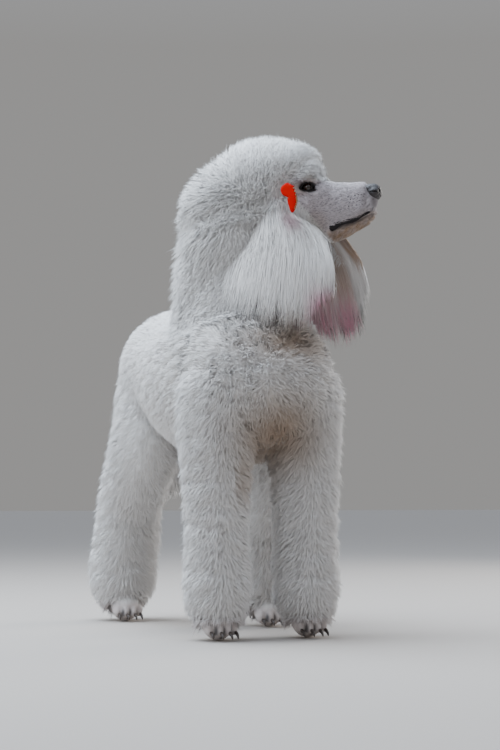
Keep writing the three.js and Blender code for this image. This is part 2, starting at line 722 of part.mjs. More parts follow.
for (const [name, side] of Object.entries(earSides)) {
  addNode(name, earBody(side).subtract(clipRoom), coatWhite, headFrame);
  addNode(name.replace("ear", "eye"), eyeBall(side), eyeDark, headFrame);
}
addNode("nose", nose().subtract(nostrils()), noseLeather, headFrame);
addNode("hair_clip", clipNode, clipRed, headFrame);
addNode("tail", tailBody(), coatWhite);
const aboveFloor = beyond(V(0, 0, 0), V(0, 0, 1), 0);
for (const [name, foot] of Object.entries(feet)) {
  addNode(name, paw(foot).intersect(aboveFloor), faceSkin);
  const room = paw(foot, CUT);
  TOES.forEach((toe, i) => {
    addNode(`${name.replace("paw", "claw")}_${i + 1}`, claw(foot, toe).subtract(room), clawHorn);
  });
}

// The middle of the dog's box stands on the origin
const box = new THREE.Box3().setFromObject(dog, true);
dog.position.set(-(box.min.x + box.max.x) / 2, -(box.min.y + box.max.y) / 2, -box.min.z);

export default dog;
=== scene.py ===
"""A white standard poodle in a fluffy companion clip, standing with its head turned to its left.

Metres, +Z up. The dog faces -Y and its left side is +X. One skin stands for the flesh of the whole dog, and
its coat is grown over it as solid tufts that follow the lie of the hair.
"""

import logging
import math
from dataclasses import dataclass, field, replace
from enum import Enum
from typing import Callable

import bpy
import numpy as np
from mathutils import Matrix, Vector
from mathutils.bvhtree import BVHTree
from mathutils.kdtree import KDTree


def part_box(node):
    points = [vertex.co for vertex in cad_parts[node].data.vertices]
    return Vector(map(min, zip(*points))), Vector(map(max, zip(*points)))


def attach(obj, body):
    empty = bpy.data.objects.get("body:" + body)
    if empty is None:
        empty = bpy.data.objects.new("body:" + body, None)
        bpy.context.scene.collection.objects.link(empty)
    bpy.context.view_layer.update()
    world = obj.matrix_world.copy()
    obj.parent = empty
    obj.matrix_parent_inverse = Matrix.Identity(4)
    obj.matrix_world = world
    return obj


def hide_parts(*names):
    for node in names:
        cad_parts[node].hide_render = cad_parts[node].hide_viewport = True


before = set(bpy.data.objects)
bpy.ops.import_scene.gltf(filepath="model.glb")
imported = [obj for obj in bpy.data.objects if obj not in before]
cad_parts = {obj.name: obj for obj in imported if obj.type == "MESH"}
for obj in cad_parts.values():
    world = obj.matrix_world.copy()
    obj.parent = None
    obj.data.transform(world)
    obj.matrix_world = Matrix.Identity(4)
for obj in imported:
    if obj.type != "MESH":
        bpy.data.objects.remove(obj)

LOG = logging.getLogger("poodle")
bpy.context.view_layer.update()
ROOT_BODY = "root"
BAKE_MAP = "OFBake"

Array = np.ndarray
Depth = Callable[[Array, Array], Array]
Lie = Callable[[Array, Array, Array], Array]
OnSkin = Callable[[Array], Array]


class Slot(Enum):
    """Names of material slots for the pieces."""

    COAT = "coat"
    FACE = "face"
    NOSE = "nose"
    EYE = "eye"
    ORNAMENT = "ornament"
    CLAW = "claw"


class Clump(Enum):
    """How tufts gather: the spacing of the gathers, the pull on their tips and their rounding."""

    PLUSH = (0.016, 0.12, 0.12)
    CURL = (0.020, 0.26, 0.95)
    FEATHER = (0.026, 0.16, 0.55)
    SHORT = (0.007, 0.2, 0.2)


# Helpers on arrays of points


def unit(v: Array) -> Array:
    """Rows of an array scaled to length one."""
    return v / np.maximum(np.linalg.norm(v, axis=-1, keepdims=True), 1e-9)


def smooth(x: Array, low: float, high: float) -> Array:
    """A smooth step from 0 at low to 1 at high."""
    s = np.clip((np.asarray(x, float) - low) / (high - low), 0, 1)
    return s * s * (3 - 2 * s)


def bell(off: Array, width: Array | float) -> Array:
    """A soft bump, 1 where off is 0 and falling away over width."""
    return np.exp(-((off / width) ** 2))


def mix(a: Array, b: Array, share: Array) -> Array:
    """The blend of a and b."""
    return a * (1 - share) + b * share


def spline(points: Array, t: Array) -> Array:
    """Catmull-Rom curve through points.

    Args:
        points: Rows of values to pass through.
        t: Shares of the way from the first row to the last.

    Returns:
        One row for each t.
    """
    last = len(points) - 1
    place = np.clip(t, 0, 1) * last
    i = np.minimum(place.astype(int), last - 1)
    f = (place - i)[:, None]
    p = np.vstack([2 * points[0] - points[1], points, 2 * points[-1] - points[-2]])
    a, b, c, d = p[i], p[i + 1], p[i + 2], p[i + 3]
    return 0.5 * (2 * b + (c - a) * f + (2 * a - 5 * b + 4 * c - d) * f**2 + (3 * b - a - 3 * c + d) * f**3)


def ripple(points: Array, size: float, seed: int) -> Array:
    """A smooth wandering value between about -1 and 1, made of a few waves in space.

    Args:
        points: Rows of places.
        size: Rough distance between its hills.
        seed: Picks the waves.

    Returns:
        One value for each place.
    """
    rng = np.random.default_rng(seed)
    total = np.zeros(len(points))
    for _ in range(6):
        way = unit(rng.normal(size=3)) * (2 * math.pi / size) * rng.uniform(0.6, 1.6)
        total += np.sin(points @ way + rng.uniform(0, 2 * math.pi))
    return total / 3.2


def nearest_heads(points: Array, cells: Array) -> tuple[Array, Array]:
    """Picks one head from each cell of space and finds the nearest head to each place.

    Args:
        points: Rows of places.
        cells: The cell in which each place lies, as rows of whole numbers.

    Returns:
        The index of each place's head, and its distance.
    """
    _, heads = np.unique(cells, axis=0, return_index=True)
    tree = KDTree(len(heads))
    for k, head in enumerate(heads):
        tree.insert(points[head], k)
    tree.balance()
    found = [tree.find(point)[1:] for point in points]
    return heads[[k for k, _ in found]], np.array([far for _, far in found])


# The dog's own frame and that of its head, set in the row's frame by the CAD's right eye


@dataclass(frozen=True)
class Carriage:
    """Where the dog stands in the row's frame and how it carries its head."""

    eye_line: tuple[float, float, float] = (0.091, -0.238, 0.802)
    turn: float = math.radians(52)
    eye_ahead: float = -0.001
    eye_out: float = 0.030
    eye_rise: float = -0.003

    @property
    def forward(self) -> Array:
        """The way the head faces."""
        return np.array([math.sin(self.turn), -math.cos(self.turn), 0])

    @property
    def left(self) -> Array:
        """The head's left."""
        return np.array([math.cos(self.turn), math.sin(self.turn), 0])

    @property
    def origin(self) -> Array:
        """The dog's own origin, in the row's frame."""
        low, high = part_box("eye_right")
        bare = self.aim(self.eye_ahead, -self.eye_out, self.eye_rise) + np.array(self.eye_line)
        return np.array((low + high) / 2) - bare

    def aim(self, ahead: float, left: float, up: float) -> Array:
        """A direction or offset of the head."""
        return ahead * self.forward + left * self.left + np.array([0, 0, up])

    def at(self, x: float, y: float, z: float) -> Array:
        """A point of the dog, in the row's frame."""
        return np.array([x, y, z]) + self.origin

    def on_head(self, ahead: float, left: float, up: float) -> Array:
        """A point of the head, in the row's frame."""
        return self.aim(ahead, left, up) + np.array(self.eye_line) + self.origin

    def head_parts(self, points: Array) -> tuple[Array, Array, Array]:
        """How far ahead, left and up of the middle of the eyes each point lies."""
        off = points - self.on_head(0, 0, 0)
        return off @ self.forward, off @ self.left, off[:, 2]


DOG = Carriage()
X_AXIS = np.array([1.0, 0, 0])
DOWN = np.array([0, 0, -1.0])


@dataclass
class Station:
    """One section of a loft: its place, its half-sizes, and its side direction if it twists."""

    at: Array
    wide: float
    up: float
    down: float | None = None
    side: Array | None = None


@dataclass
class Loft:
    """A rounded tube of flesh through stations, with ends that close over the first and last part."""

    stations: list[Station]
    side: Array = field(default_factory=lambda: X_AXIS)
    start_cap: float = 0.1
    end_cap: float = 0.1
    square: float = 2.0
    bow: float = 0.0

    def ends(self, t: Array) -> tuple[Array, Array, Array]:
        """Where each share of the length lies on the curve, and how the closed ends shape it.

        Args:
            t: Shares of the length.

        Returns:
            The place on the curve, the share of the full width and the push outwards.
        """
        turn0 = (math.pi / 2) * np.clip(t / self.start_cap, 0, 1)
        turn1 = (math.pi / 2) * np.clip((1 - t) / self.end_cap, 0, 1)
        near, far = t < self.start_cap, t > 1 - self.end_cap
        place = np.where(near, self.start_cap * (1 - np.cos(turn0)), t)
        place = np.where(far, 1 - self.end_cap * (1 - np.cos(turn1)), place)
        wide = np.where(near, np.sin(turn0), np.where(far, np.sin(turn1), 1.0))
        push = np.where(near, -np.cos(turn0), np.where(far, np.cos(turn1), 0.0))
        return place, wide, push

    def surface(self, t: Array, angle: Array, depth: Array | float = 0.0) -> Array:
        """Points of the surface.

        Args:
            t: Shares of the length.
            angle: Angles round it, from its side towards its upper face.
            depth: How far the surface is raised.

        Returns:
            One row for each point.
        """
        place, wide, push = self.ends(t)
        centres = np.array([s.at for s in self.stations])
        step = 0.002
        before, after = np.maximum(place - step, 0), np.minimum(place + step, 1)
        tangent = unit(spline(centres, after) - spline(centres, before))
        sides = spline(np.array([self.side if s.side is None else s.side for s in self.stations]), place)
        sides = unit(sides - tangent * np.sum(sides * tangent, axis=1, keepdims=True))
        up = np.cross(sides, tangent)
        sizes = np.array([[s.wide, s.up, s.up if s.down is None else s.down] for s in self.stations])
        size = spline(sizes, place)
        c, s = np.cos(angle), np.sin(angle)
        reach = (np.abs(c) ** self.square + np.abs(s) ** self.square) ** (-1 / self.square)
        across = reach * c * (size[:, 0] + depth) * wide
        rise = reach * s * (np.where(s > 0, size[:, 1], size[:, 2]) + depth) * wide
        rise = rise + self.bow * (across / size[:, 0]) ** 2
        centre = spline(centres, place) + tangent * (push * depth)[:, None]
        return centre + sides * across[:, None] + up * rise[:, None]

    def normal(self, t: Array, angle: Array) -> Array:
        """Outward normals of the surface.

        Args:
            t: Shares of the length.
            angle: Angles round it.

        Returns:
            One normal for each point.
        """
        step = 0.01
        t = np.clip(t, step, 1 - step)
        along = self.surface(t + step, angle) - self.surface(t - step, angle)
        around = self.surface(t, angle + step) - self.surface(t, angle - step)
        return unit(np.cross(along, around))


# Bodies of mesh


def only(obj: bpy.types.Object) -> bpy.types.Object:
    """Selects one object alone and makes it the active one.

    Args:
        obj: The object.

    Returns:
        The same object.
    """
    bpy.ops.object.select_all(action="DESELECT")
    obj.select_set(True)
    bpy.context.view_layer.objects.active = obj
    return obj


def points_of(mesh: bpy.types.Mesh) -> Array:
    """The places of a mesh's vertices."""
    flat = np.empty(len(mesh.vertices) * 3, np.float32)
    mesh.vertices.foreach_get("co", flat)
    return flat.reshape(-1, 3).astype(float)


def normals_of(mesh: bpy.types.Mesh) -> Array:
    """The normals of a mesh's vertices."""
    flat = np.empty(len(mesh.vertices) * 3, np.float32)
    mesh.vertices.foreach_get("normal", flat)
    return flat.reshape(-1, 3).astype(float)


def set_points(mesh: bpy.types.Mesh, points: Array) -> None:
    """Moves a mesh's vertices."""
    mesh.vertices.foreach_set("co", points.astype(np.float32).ravel())
    mesh.update()


def ball(name: str, around: int = 24, rings: int = 16) -> bpy.types.Object:
    """A ball of radius one at the origin, the start of most pieces.

    Args:
        name: The piece's name.
        around: Faces round it.
        rings: Faces along it.

    Returns:
        The new piece.
    """
    bpy.ops.object.select_all(action="DESELECT")
    bpy.ops.mesh.primitive_uv_sphere_add(segments=around, ring_count=rings, radius=1)
    made = bpy.context.active_object
    made.name = name
    return made


def lofted(name: str, loft: Loft, around: int, rings: int, depth: Depth | float = 0.0) -> bpy.types.Object:
    """A ball drawn out along a loft.

    Args:
        name: The piece's name.
        loft: The shape it takes.
        around: Faces round it.
        rings: Faces along it.
        depth: How far it stands over the loft, or a function of the share of the length and the angle.

    Returns:
        The new piece.
    """
    made = ball(name, around, rings)
    p = points_of(made.data)
    t = np.arccos(np.clip(-p[:, 2], -1, 1)) / math.pi
    angle = np.where((t < 0.001) | (t > 0.999), 0.0, np.arctan2(p[:, 1], p[:, 0]))
    raised = depth(t, angle) if callable(depth) else np.full(len(t), depth)
    set_points(made.data, loft.surface(t, angle, raised))
    return made


def egg(name: str, centre: Array, axes: list[Array], around: int = 24, rings: int = 16) -> bpy.types.Object:
    """A ball stretched to three half-axes about a centre."""
    made = ball(name, around, rings)
    set_points(made.data, points_of(made.data) @ np.array(axes) + centre)
    return made


def outward(obj: bpy.types.Object) -> bpy.types.Object:
    """Turns an object's faces outwards.

    Args:
        obj: The object.

    Returns:
        The same object.
    """
    only(obj)
    bpy.ops.object.mode_set(mode="EDIT")
    bpy.ops.mesh.select_all(action="SELECT")
    bpy.ops.mesh.normals_make_consistent(inside=False)
    bpy.ops.object.mode_set(mode="OBJECT")
    return obj


def joined(name: str, parts: list[bpy.types.Object]) -> bpy.types.Object:
    """Several objects as one.

    Args:
        name: The new name.
        parts: The objects.

    Returns:
        The one object.
    """
    only(parts[0])
    for part in parts[1:]:
        part.select_set(True)
    if len(parts) > 1:
        bpy.ops.object.join()
    made = bpy.context.active_object
    made.name = name
    return made


def finish_modifiers(obj: bpy.types.Object) -> bpy.types.Object:
    """Applies every modifier of an object.

    Args:
        obj: The object.

    Returns:
        The same object.
    """
    only(obj)
    for modifier in list(obj.modifiers):
        bpy.ops.object.modifier_apply(modifier=modifier.name)
    return obj


def remeshed(obj: bpy.types.Object, voxel: float, passes: int) -> bpy.types.Object:
    """One even skin over all of an object's shells, smoothed.

    Args:
        obj: The object, of closed shells that cross.
        voxel: Size of its new faces.
        passes: How often it is smoothed.

    Returns:
        The same object.
    """
    outward(obj)
    remesh = obj.modifiers.new("One skin", "REMESH")
    remesh.mode = "VOXEL"
    remesh.voxel_size = voxel
    soften = obj.modifiers.new("Soften", "SMOOTH")
    soften.factor = 0.5
    soften.iterations = passes
    return finish_modifiers(obj)


def without(obj: bpy.types.Object, cutter: bpy.types.Object) -> bpy.types.Object:
    """Cuts one object out of another and removes the cutter.

    Args:
        obj: The object to cut.
        cutter: The object that is taken away.

    Returns:
        The object that was cut.
    """
    outward(cutter)
    cut = obj.modifiers.new("Cut", "BOOLEAN")
    cut.operation = "DIFFERENCE"
    cut.solver = "EXACT"
    cut.object = cutter
    finish_modifiers(obj)
    bpy.data.objects.remove(cutter)
    return obj


def united(obj: bpy.types.Object, other: bpy.types.Object) -> bpy.types.Object:
    """Fuses another object into this one and removes the other.

    Args:
        obj: The object that stays.
        other: The object that joins it.

    Returns:
        The object that stays.
    """
    fuse = obj.modifiers.new("Fuse", "BOOLEAN")
    fuse.operation = "UNION"
    fuse.solver = "MANIFOLD"
    fuse.object = other
    finish_modifiers(obj)
    bpy.data.objects.remove(other)
    return obj


def dressed(obj: bpy.types.Object, material: bpy.types.Material, slot: Slot, *nodes: str) -> bpy.types.Object:
    """Gives a finished piece its material, smooth shading and its parent, and hides the nodes that it stands
    for.

    Args:
        obj: The piece.
        material: Its material.
        slot: A material slot for the piece; not used.
        nodes: The CAD nodes that it replaces, if any.

    Returns:
        The same piece.
    """
    obj.data.materials.clear()
    obj.data.materials.append(material)
    obj.data.shade_smooth()
    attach(obj, ROOT_BODY)
    if nodes:
        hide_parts(*nodes)
    obj.data.calc_loop_triangles()
    LOG.info("%s: %d triangles", obj.name, len(obj.data.loop_triangles))
    return obj


def attribute(mesh: bpy.types.Mesh, name: str, values: Array) -> None:
    """Stores one value for each vertex."""
    made = mesh.attributes.get(name) or mesh.attributes.new(name, "FLOAT", "POINT")
    made.data.foreach_set("value", values.astype(np.float32))


# Markings and painted shade, the same on skin and coat


@dataclass(frozen=True)
class MarkingsAndShade:
    """Where the dog isn't white: stains, pink hair and skin, dark rims, and painted shade in the hollow of
    the chest, under the ears and on the inner side of the right front leg.

    Each tan spot has its strength, how far ahead, aside and up of the eyes it lies, and its radius.
    """

    names: tuple[str, ...] = ("bare", "tan", "pink", "dark")
    tan_spots: tuple[tuple[float, ...], ...] = (
        (0.42, -0.016, 0.038, -0.010, 0.024),
        (0.40, 0.002, 0.036, 0.010, 0.017),
        (0.30, 0.016, 0.030, -0.066, 0.030),
    )

    def border(self, up: Array) -> Array:
        """How far ahead of the eyes the shaved face begins, at each height."""
        return -0.026 + 0.75 * np.maximum(0, -up - 0.01)

    def at(self, points: Array) -> dict[str, Array]:
        """The strength of each marking and of each painted shade.

        Args:
            points: Rows of places in the row's frame.

        Returns:
            For each marking, one value between 0 and 1 for each place.
        """
        ahead, left, up = DOG.head_parts(points)
        dog = points - DOG.origin

        def spot(a: float, s: float, u: float, reach: float) -> Array:
            """A soft round spot on the head."""
            far = np.sqrt((ahead - a) ** 2 + (left - s) ** 2 + (up - u) ** 2)
            return 1 - smooth(far, reach * 0.35, reach)

        on_head = (up > -0.135) * (ahead < 0.14) * (np.abs(left) < 0.064)
        border = self.border(up)
        bare = on_head * smooth(ahead, border - 0.004, border + 0.006) * (1 - smooth(up, 0.005, 0.014))
        paw = 1 - smooth(dog[:, 2], 0.028, 0.046)
        tan = np.zeros(len(points))
        pink = np.zeros(len(points))
        for strength, a, s, u, reach in self.tan_spots:
            tan = np.maximum(tan, strength * np.maximum(spot(a, -s, u, reach), spot(a, s, u, reach)))
        jaw = bare * smooth(ahead, 0.0, 0.03) * (1 - smooth(up + 0.097 - (ahead - 0.03) * 0.42, 0.0, 0.026))
        tan = np.maximum(tan, (0.8 + 0.2 * ripple(points, 0.014, 41)) * jaw)
        on_ear = (up > -0.262) * (ahead > -0.17) * (ahead < 0.12)
        near_tip = smooth(ahead, 0.0, 0.045) * smooth(-up, 0.18, 0.225) * (left < -0.06) * on_ear
        pink = np.maximum(pink, 0.85 * near_tip)
        pink = np.maximum(pink, 0.35 * spot(-0.012, -0.085, -0.062, 0.03))
        # Painted shade: tan in the hollow of the chest between the front legs and under the ears, where the
        # coat lies in shade.
        hollow_shade = bell(dog[:, 0] - 0.01, 0.09) * bell(dog[:, 2] - 0.355, 0.075)
        under_ear_shade = bell(dog[:, 0] - 0.03, 0.095) * bell(dog[:, 2] - 0.52, 0.04)
        hollow_shade, under_ear_shade = hollow_shade * (dog[:, 1] < -0.1), under_ear_shade * (dog[:, 1] < -0.16)
        tan = np.maximum(tan, np.maximum(0.9 * hollow_shade, 0.8 * under_ear_shade))
        # Painted shade: tan on the inner side of the right front leg, between the front legs.
        inner_leg_shade = (1 - smooth(np.abs(dog[:, 0] + 0.045), 0.012, 0.034)) * smooth(dog[:, 2], 0.2, 0.27)
        inner_leg_shade = inner_leg_shade * (1 - smooth(dog[:, 2], 0.31, 0.38)) * (dog[:, 1] < -0.16)
        tan = np.maximum(tan, 0.55 * inner_leg_shade)
        tan = np.maximum(tan, 0.3 * paw)
        bare = np.maximum(bare, 0.6 * paw)
        front = bare * smooth(ahead, 0.084, 0.112) * (0.5 + 0.25 * ripple(points, 0.008, 44)) * (up > -0.1)
        # The dark front of the muzzle is its own colour; the dark in the chest hollow is painted shade.
        dark = np.maximum(front, 0.16 * hollow_shade)
        return {"bare": bare, "tan": tan, "pink": pink, "dark": np.clip(dark, 0, 1)}


MARKINGS_AND_SHADE = MarkingsAndShade()


def mark(mesh: bpy.types.Mesh, at: Array | None = None, **more: Array) -> None:
    """Stores the markings and painted shade on a mesh's vertices.

    Args:
        mesh: The mesh.
        at: The place that stands for each vertex, such as the middle of its tuft, or none for its own.
        more: Further strengths, which are added where they are larger.
    """
    found = MARKINGS_AND_SHADE.at(points_of(mesh) if at is None else at)
    for name in MARKINGS_AND_SHADE.names:
        values = found[name]
        if name in more:
            values = np.maximum(values, more[name])
        attribute(mesh, name, values)


# Finishes


def wire(tree: bpy.types.NodeTree, source: bpy.types.NodeSocket, target: bpy.types.NodeSocket) -> None:
    """Links two sockets."""
    tree.links.new(source, target)


def fill(node: bpy.types.Node, values: dict[str, float | tuple[float, ...]]) -> None:
    """Sets constant inputs of a node."""
    for label, value in values.items():
        node.inputs[label].default_value = value


def mixer(tree: bpy.types.NodeTree, blend: str = "MIX") -> bpy.types.Node:
    """A node that mixes two colours.

    Args:
        tree: The tree that it joins.
        blend: How the second colour is laid over the first.

    Returns:
        The node.
    """
    made = tree.nodes.new("ShaderNodeMix")
    made.data_type = "RGBA"
    made.blend_type = blend
    return made


def markings_and_shade_group() -> bpy.types.ShaderNodeTree:
    """The group that colours skin and coat: base colour, markings with their painted shade, and the fine
    streaks of hair.

    Returns:
        The group, made at its first use.
    """
    name = "Dog markings and painted shade"
    if name in bpy.data.node_groups:
        return bpy.data.node_groups[name]
    tree = bpy.data.node_groups.new(name, "ShaderNodeTree")
    colour_in = {
        "Base": (0.8, 0.78, 0.75, 1),
        "Bare": (0.5, 0.46, 0.46, 1),
        "Tan": (0.36, 0.2, 0.1, 1),
        "Pink": (0.62, 0.1, 0.2, 1),
        "Dark": (0.012, 0.01, 0.01, 1),
    }
    for label, value in colour_in.items():
        tree.interface.new_socket(label, in_out="INPUT", socket_type="NodeSocketColor").default_value = value
    for label, value in {"Mottle": 0.1, "Mottle Scale": 26.0, "Grain": 300.0}.items():
        tree.interface.new_socket(label, in_out="INPUT", socket_type="NodeSocketFloat").default_value = value
    tree.interface.new_socket("Color", in_out="OUTPUT", socket_type="NodeSocketColor")
    tree.interface.new_socket("Height", in_out="OUTPUT", socket_type="NodeSocketFloat")
    nodes = tree.nodes
    enter = nodes.new("NodeGroupInput")
    leave = nodes.new("NodeGroupOutput")
    place = nodes.new("ShaderNodeTexCoord")
    grain = nodes.new("ShaderNodeTexNoise")
    grain.inputs["Detail"].default_value = 3
    wire(tree, place.outputs["Object"], grain.inputs["Vector"])
    wire(tree, enter.outputs["Grain"], grain.inputs["Scale"])
    wire(tree, grain.outputs["Fac"], leave.inputs["Height"])
    broad = nodes.new("ShaderNodeTexNoise")
    broad.inputs["Detail"].default_value = 4
    wire(tree, enter.outputs["Mottle Scale"], broad.inputs["Scale"])
    wire(tree, place.outputs["Object"], broad.inputs["Vector"])
    uneven = nodes.new("ShaderNodeMath")
    uneven.operation = "MULTIPLY"
    wire(tree, broad.outputs["Fac"], uneven.inputs[0])
    wire(tree, enter.outputs["Mottle"], uneven.inputs[1])
    shade = mixer(tree, "MULTIPLY")
    shade.inputs["B"].default_value = (0.5, 0.47, 0.45, 1)
    wire(tree, uneven.outputs[0], shade.inputs["Factor"])
    wire(tree, enter.outputs["Base"], shade.inputs["A"])
    colour = shade.outputs["Result"]
    for label in MARKINGS_AND_SHADE.names:
        strength = nodes.new("ShaderNodeAttribute")
        strength.attribute_name = label
        over = mixer(tree)
        wire(tree, strength.outputs["Fac"], over.inputs["Factor"])
        wire(tree, colour, over.inputs["A"])
        wire(tree, enter.outputs[label.capitalize()], over.inputs["B"])
        colour = over.outputs["Result"]
    wire(tree, colour, leave.inputs["Color"])
    return tree


def bare_material(name: str) -> tuple[bpy.types.Material, bpy.types.Node]:
    """A new material and its Principled shader."""
    material = bpy.data.materials.new(name)
    material.use_nodes = True
    return material, material.node_tree.nodes["Principled BSDF"]


@dataclass(frozen=True)
class HairFinish:
    """Skin or coat that carries the dog's markings and painted shade."""

    name: str
    base: tuple[float, float, float, float] = (0.93, 0.92, 0.91, 1)
    bare: tuple[float, float, float, float] = (0.61, 0.55, 0.57, 1)
    # The tan colour serves the real stains and also the painted shade in hollows and at the roots of the
    # tufts.
    tan: tuple[float, float, float, float] = (0.40, 0.27, 0.175, 1)
    pink: tuple[float, float, float, float] = (0.70, 0.17, 0.33, 1)
    roughness: float = 0.85
    mottle: float = 0.12
    mottle_scale: float = 26.0
    grain: float = 420.0
    bump: float = 0.25
    sheen: float = 0.25

    def material(self) -> bpy.types.Material:
        """The finish as a material.

        Returns:
            The material.
        """
        material, shader = bare_material(self.name)
        tree = material.node_tree
        group = tree.nodes.new("ShaderNodeGroup")
        group.node_tree = markings_and_shade_group()
        colours = {"Base": self.base, "Bare": self.bare, "Tan": self.tan, "Pink": self.pink}
        fill(group, colours)
        fill(group, {"Mottle": self.mottle, "Mottle Scale": self.mottle_scale, "Grain": self.grain})
        wire(tree, group.outputs["Color"], shader.inputs["Base Color"])
        fill(shader, {"Roughness": self.roughness, "Sheen Weight": self.sheen, "Specular IOR Level": 0.25})
        if self.bump:
            bump = tree.nodes.new("ShaderNodeBump")
            fill(bump, {"Strength": self.bump, "Distance": 0.001})
            wire(tree, group.outputs["Height"], bump.inputs["Height"])
            wire(tree, bump.outputs["Normal"], shader.inputs["Normal"])
        return material


@dataclass(frozen=True)
class PlainFinish:
    """A finish of one colour, such as horn, plastic or a glossy eye."""

    name: str
    colour: tuple[float, float, float, float]
    roughness: float
    coat: float = 0.0
    pebble: float = 0.0
    pebble_size: float = 700.0
    gloss: float = 0.5

    def material(self) -> bpy.types.Material:
        """The finish as a material.

        Returns:
            The material.
        """
        material, shader = bare_material(self.name)
        fill(shader, {"Base Color": self.colour, "Roughness": self.roughness})
        fill(shader, {"Specular IOR Level": self.gloss, "Coat Weight": self.coat, "Coat Roughness": 0.05})
        if self.pebble:
            tree = material.node_tree
            place = tree.nodes.new("ShaderNodeTexCoord")
            cells = tree.nodes.new("ShaderNodeTexVoronoi")
            cells.inputs["Scale"].default_value = self.pebble_size
            bump = tree.nodes.new("ShaderNodeBump")
            fill(bump, {"Strength": self.pebble, "Distance": 0.0006})
            bump.invert = True
            wire(tree, place.outputs["Object"], cells.inputs["Vector"])
            wire(tree, cells.outputs["Distance"], bump.inputs["Height"])
            wire(tree, bump.outputs["Normal"], shader.inputs["Normal"])
        return material


COAT_WHITE = HairFinish("White coat")
SKIN = HairFinish("Skin and short hair", mottle=0.55, mottle_scale=210, bump=0.6, grain=900)


# The parts of the body, as lofts with a coat

CORE_SHARE = 0.5


@dataclass
class Part:
    """A part of the body: its loft, the depth of its coat and how the hair lies on it.

    The fuzz is the share of fine hairs that stand out past the rest.
    """

    name: str
    loft: Loft
    coat: Depth
    lie: Lie
    tufts: int
    clump: Clump = Clump.PLUSH
    stand: float = 1.0
    wave: float = 0.1
    width: float = 0.0009
    sizes: tuple[int, int] = (40, 40)
    span: tuple[float, float] = (0.0, 1.0)
    pieces: int = 1
    knots: int = 3
    settle: tuple[float, float] = (2.0, 3.0)
    stray: float = 0.4
    grizzle: float = 0.0
    fuzz: float = 0.0
    # Strength of the tan painted at the roots of the tufts as shade, darkening the coat towards the skin.
    tone_and_root_shade: float = 0.12

    def core(self, t: Array, angle: Array) -> Array:
        """How far the skin stands over the loft, the solid heart of the coat."""
        return CORE_SHARE * self.coat(t, angle)

    def flesh(self) -> bpy.types.Object:
        """The part's share of the skin."""
        return lofted(self.name, self.loft, *self.sizes, self.core)


def even(depth: float) -> Depth:
    """A coat of one depth."""
    return lambda t, angle: np.full(len(t), depth)


@dataclass
class Trunk:
    """Torso and neck."""

    withers: float = 0.600
    length: float = 0.620
    width: float = 0.236
    breastbone: float = -0.300
    body_coat: float = 0.030
    chest_coat: float = 0.038
    nape_coat: float = 0.072
    neck_side_coat: float = 0.026

    def torso(self) -> Part:
        """The barrel of the body: shares of its length, with top and bottom as shares of the withers.

        Returns:
            The part.
        """
        sections = [
            (0.0, 0.835, 0.69, 0.56),
            (0.07, 0.9, 0.62, 0.76),
            (0.18, 0.97, 0.575, 0.92),
            (0.34, 1.0, 0.555, 1.0),
            (0.52, 0.99, 0.58, 1.0),
            (0.7, 0.99, 0.64, 0.92),
            (0.85, 1.0, 0.67, 0.9),
            (0.95, 0.965, 0.69, 0.76),
            (1.0, 0.93, 0.72, 0.56),
        ]
        stations = [
            Station(
                DOG.at(0, self.breastbone + share * self.length, self.withers * (top + bottom) / 2),
                self.width / 2 * wide,
                self.withers * (top - bottom) / 2,
            )
            for share, top, bottom, wide in sections
        ]

        def coat(t: Array, angle: Array) -> Array:
            """Deeper on the chest."""
            return mix(self.chest_coat, self.body_coat, np.clip(t / 0.3, 0, 1))

        def lie(points: Array, normals: Array, t: Array) -> Array:
            """Down and back, in swirls on the chest."""
            swirl = ripple(points, 0.07, 5)[:, None]
            aside = unit(np.cross(normals, DOWN + 0.001))
            return unit(np.array([0, 0.45, -0.9]) + aside * swirl * 1.2 * (1 - smooth(t, 0.2, 0.5))[:, None])

        loft = Loft(stations, start_cap=0.125, end_cap=0.125)
        return Part(
            "torso",
            loft,
            coat,
            lie,
            tufts=39000,
            clump=Clump.CURL,
            stand=1.5,
            wave=0.3,
            width=0.0009,
            sizes=(64, 64),
            pieces=4,
            settle=(0.3, 0.6),
            fuzz=0.03,
            tone_and_root_shade=0.3,
        )

    def neck(self) -> Part:
        """The neck, which turns with the head. Its upper side is the throat.

        Returns:
            The part.
        """
        base = DOG.on_head(-0.095, 0, -0.05)
        across = DOG.aim(0, 1, 0)
        stations = [
            Station(DOG.at(0, -0.105, 0.480), 0.096, 0.118, 0.110, X_AXIS),
            Station(DOG.at(0, -0.130, 0.560), 0.088, 0.104, 0.100, X_AXIS),
            Station(DOG.at(0.001, -0.148, 0.640), 0.076, 0.082, 0.088, mix(X_AXIS, across, 0.35)),
            Station(base + [-0.004, 0.006, -0.045], 0.066, 0.068, 0.078, across),
            Station(base + [0, 0, 0.040], 0.054, 0.056, 0.060, across),
        ]

        def coat(t: Array, angle: Array) -> Array:
            """Deepest down the nape."""
            nape = np.maximum(0, -np.sin(angle)) ** 0.7
            side = mix(self.chest_coat, self.neck_side_coat, np.clip(t / 0.6, 0, 1))
            return mix(side, self.nape_coat, nape * np.minimum(1, 0.25 + t * 1.6))

        def lie(points: Array, normals: Array, t: Array) -> Array:
            """Straight down."""
            return np.tile(DOWN, (len(points), 1))

        loft = Loft(stations, start_cap=0.12, end_cap=0.15)
        return Part(
            "neck",
            loft,
            coat,
            lie,
            tufts=18000,
            stand=1.1,
            wave=0.1,
            width=0.0009,
            sizes=(56, 40),
            span=(0.12, 1),
            pieces=2,
            stray=0.3,
            fuzz=0.05,
        )


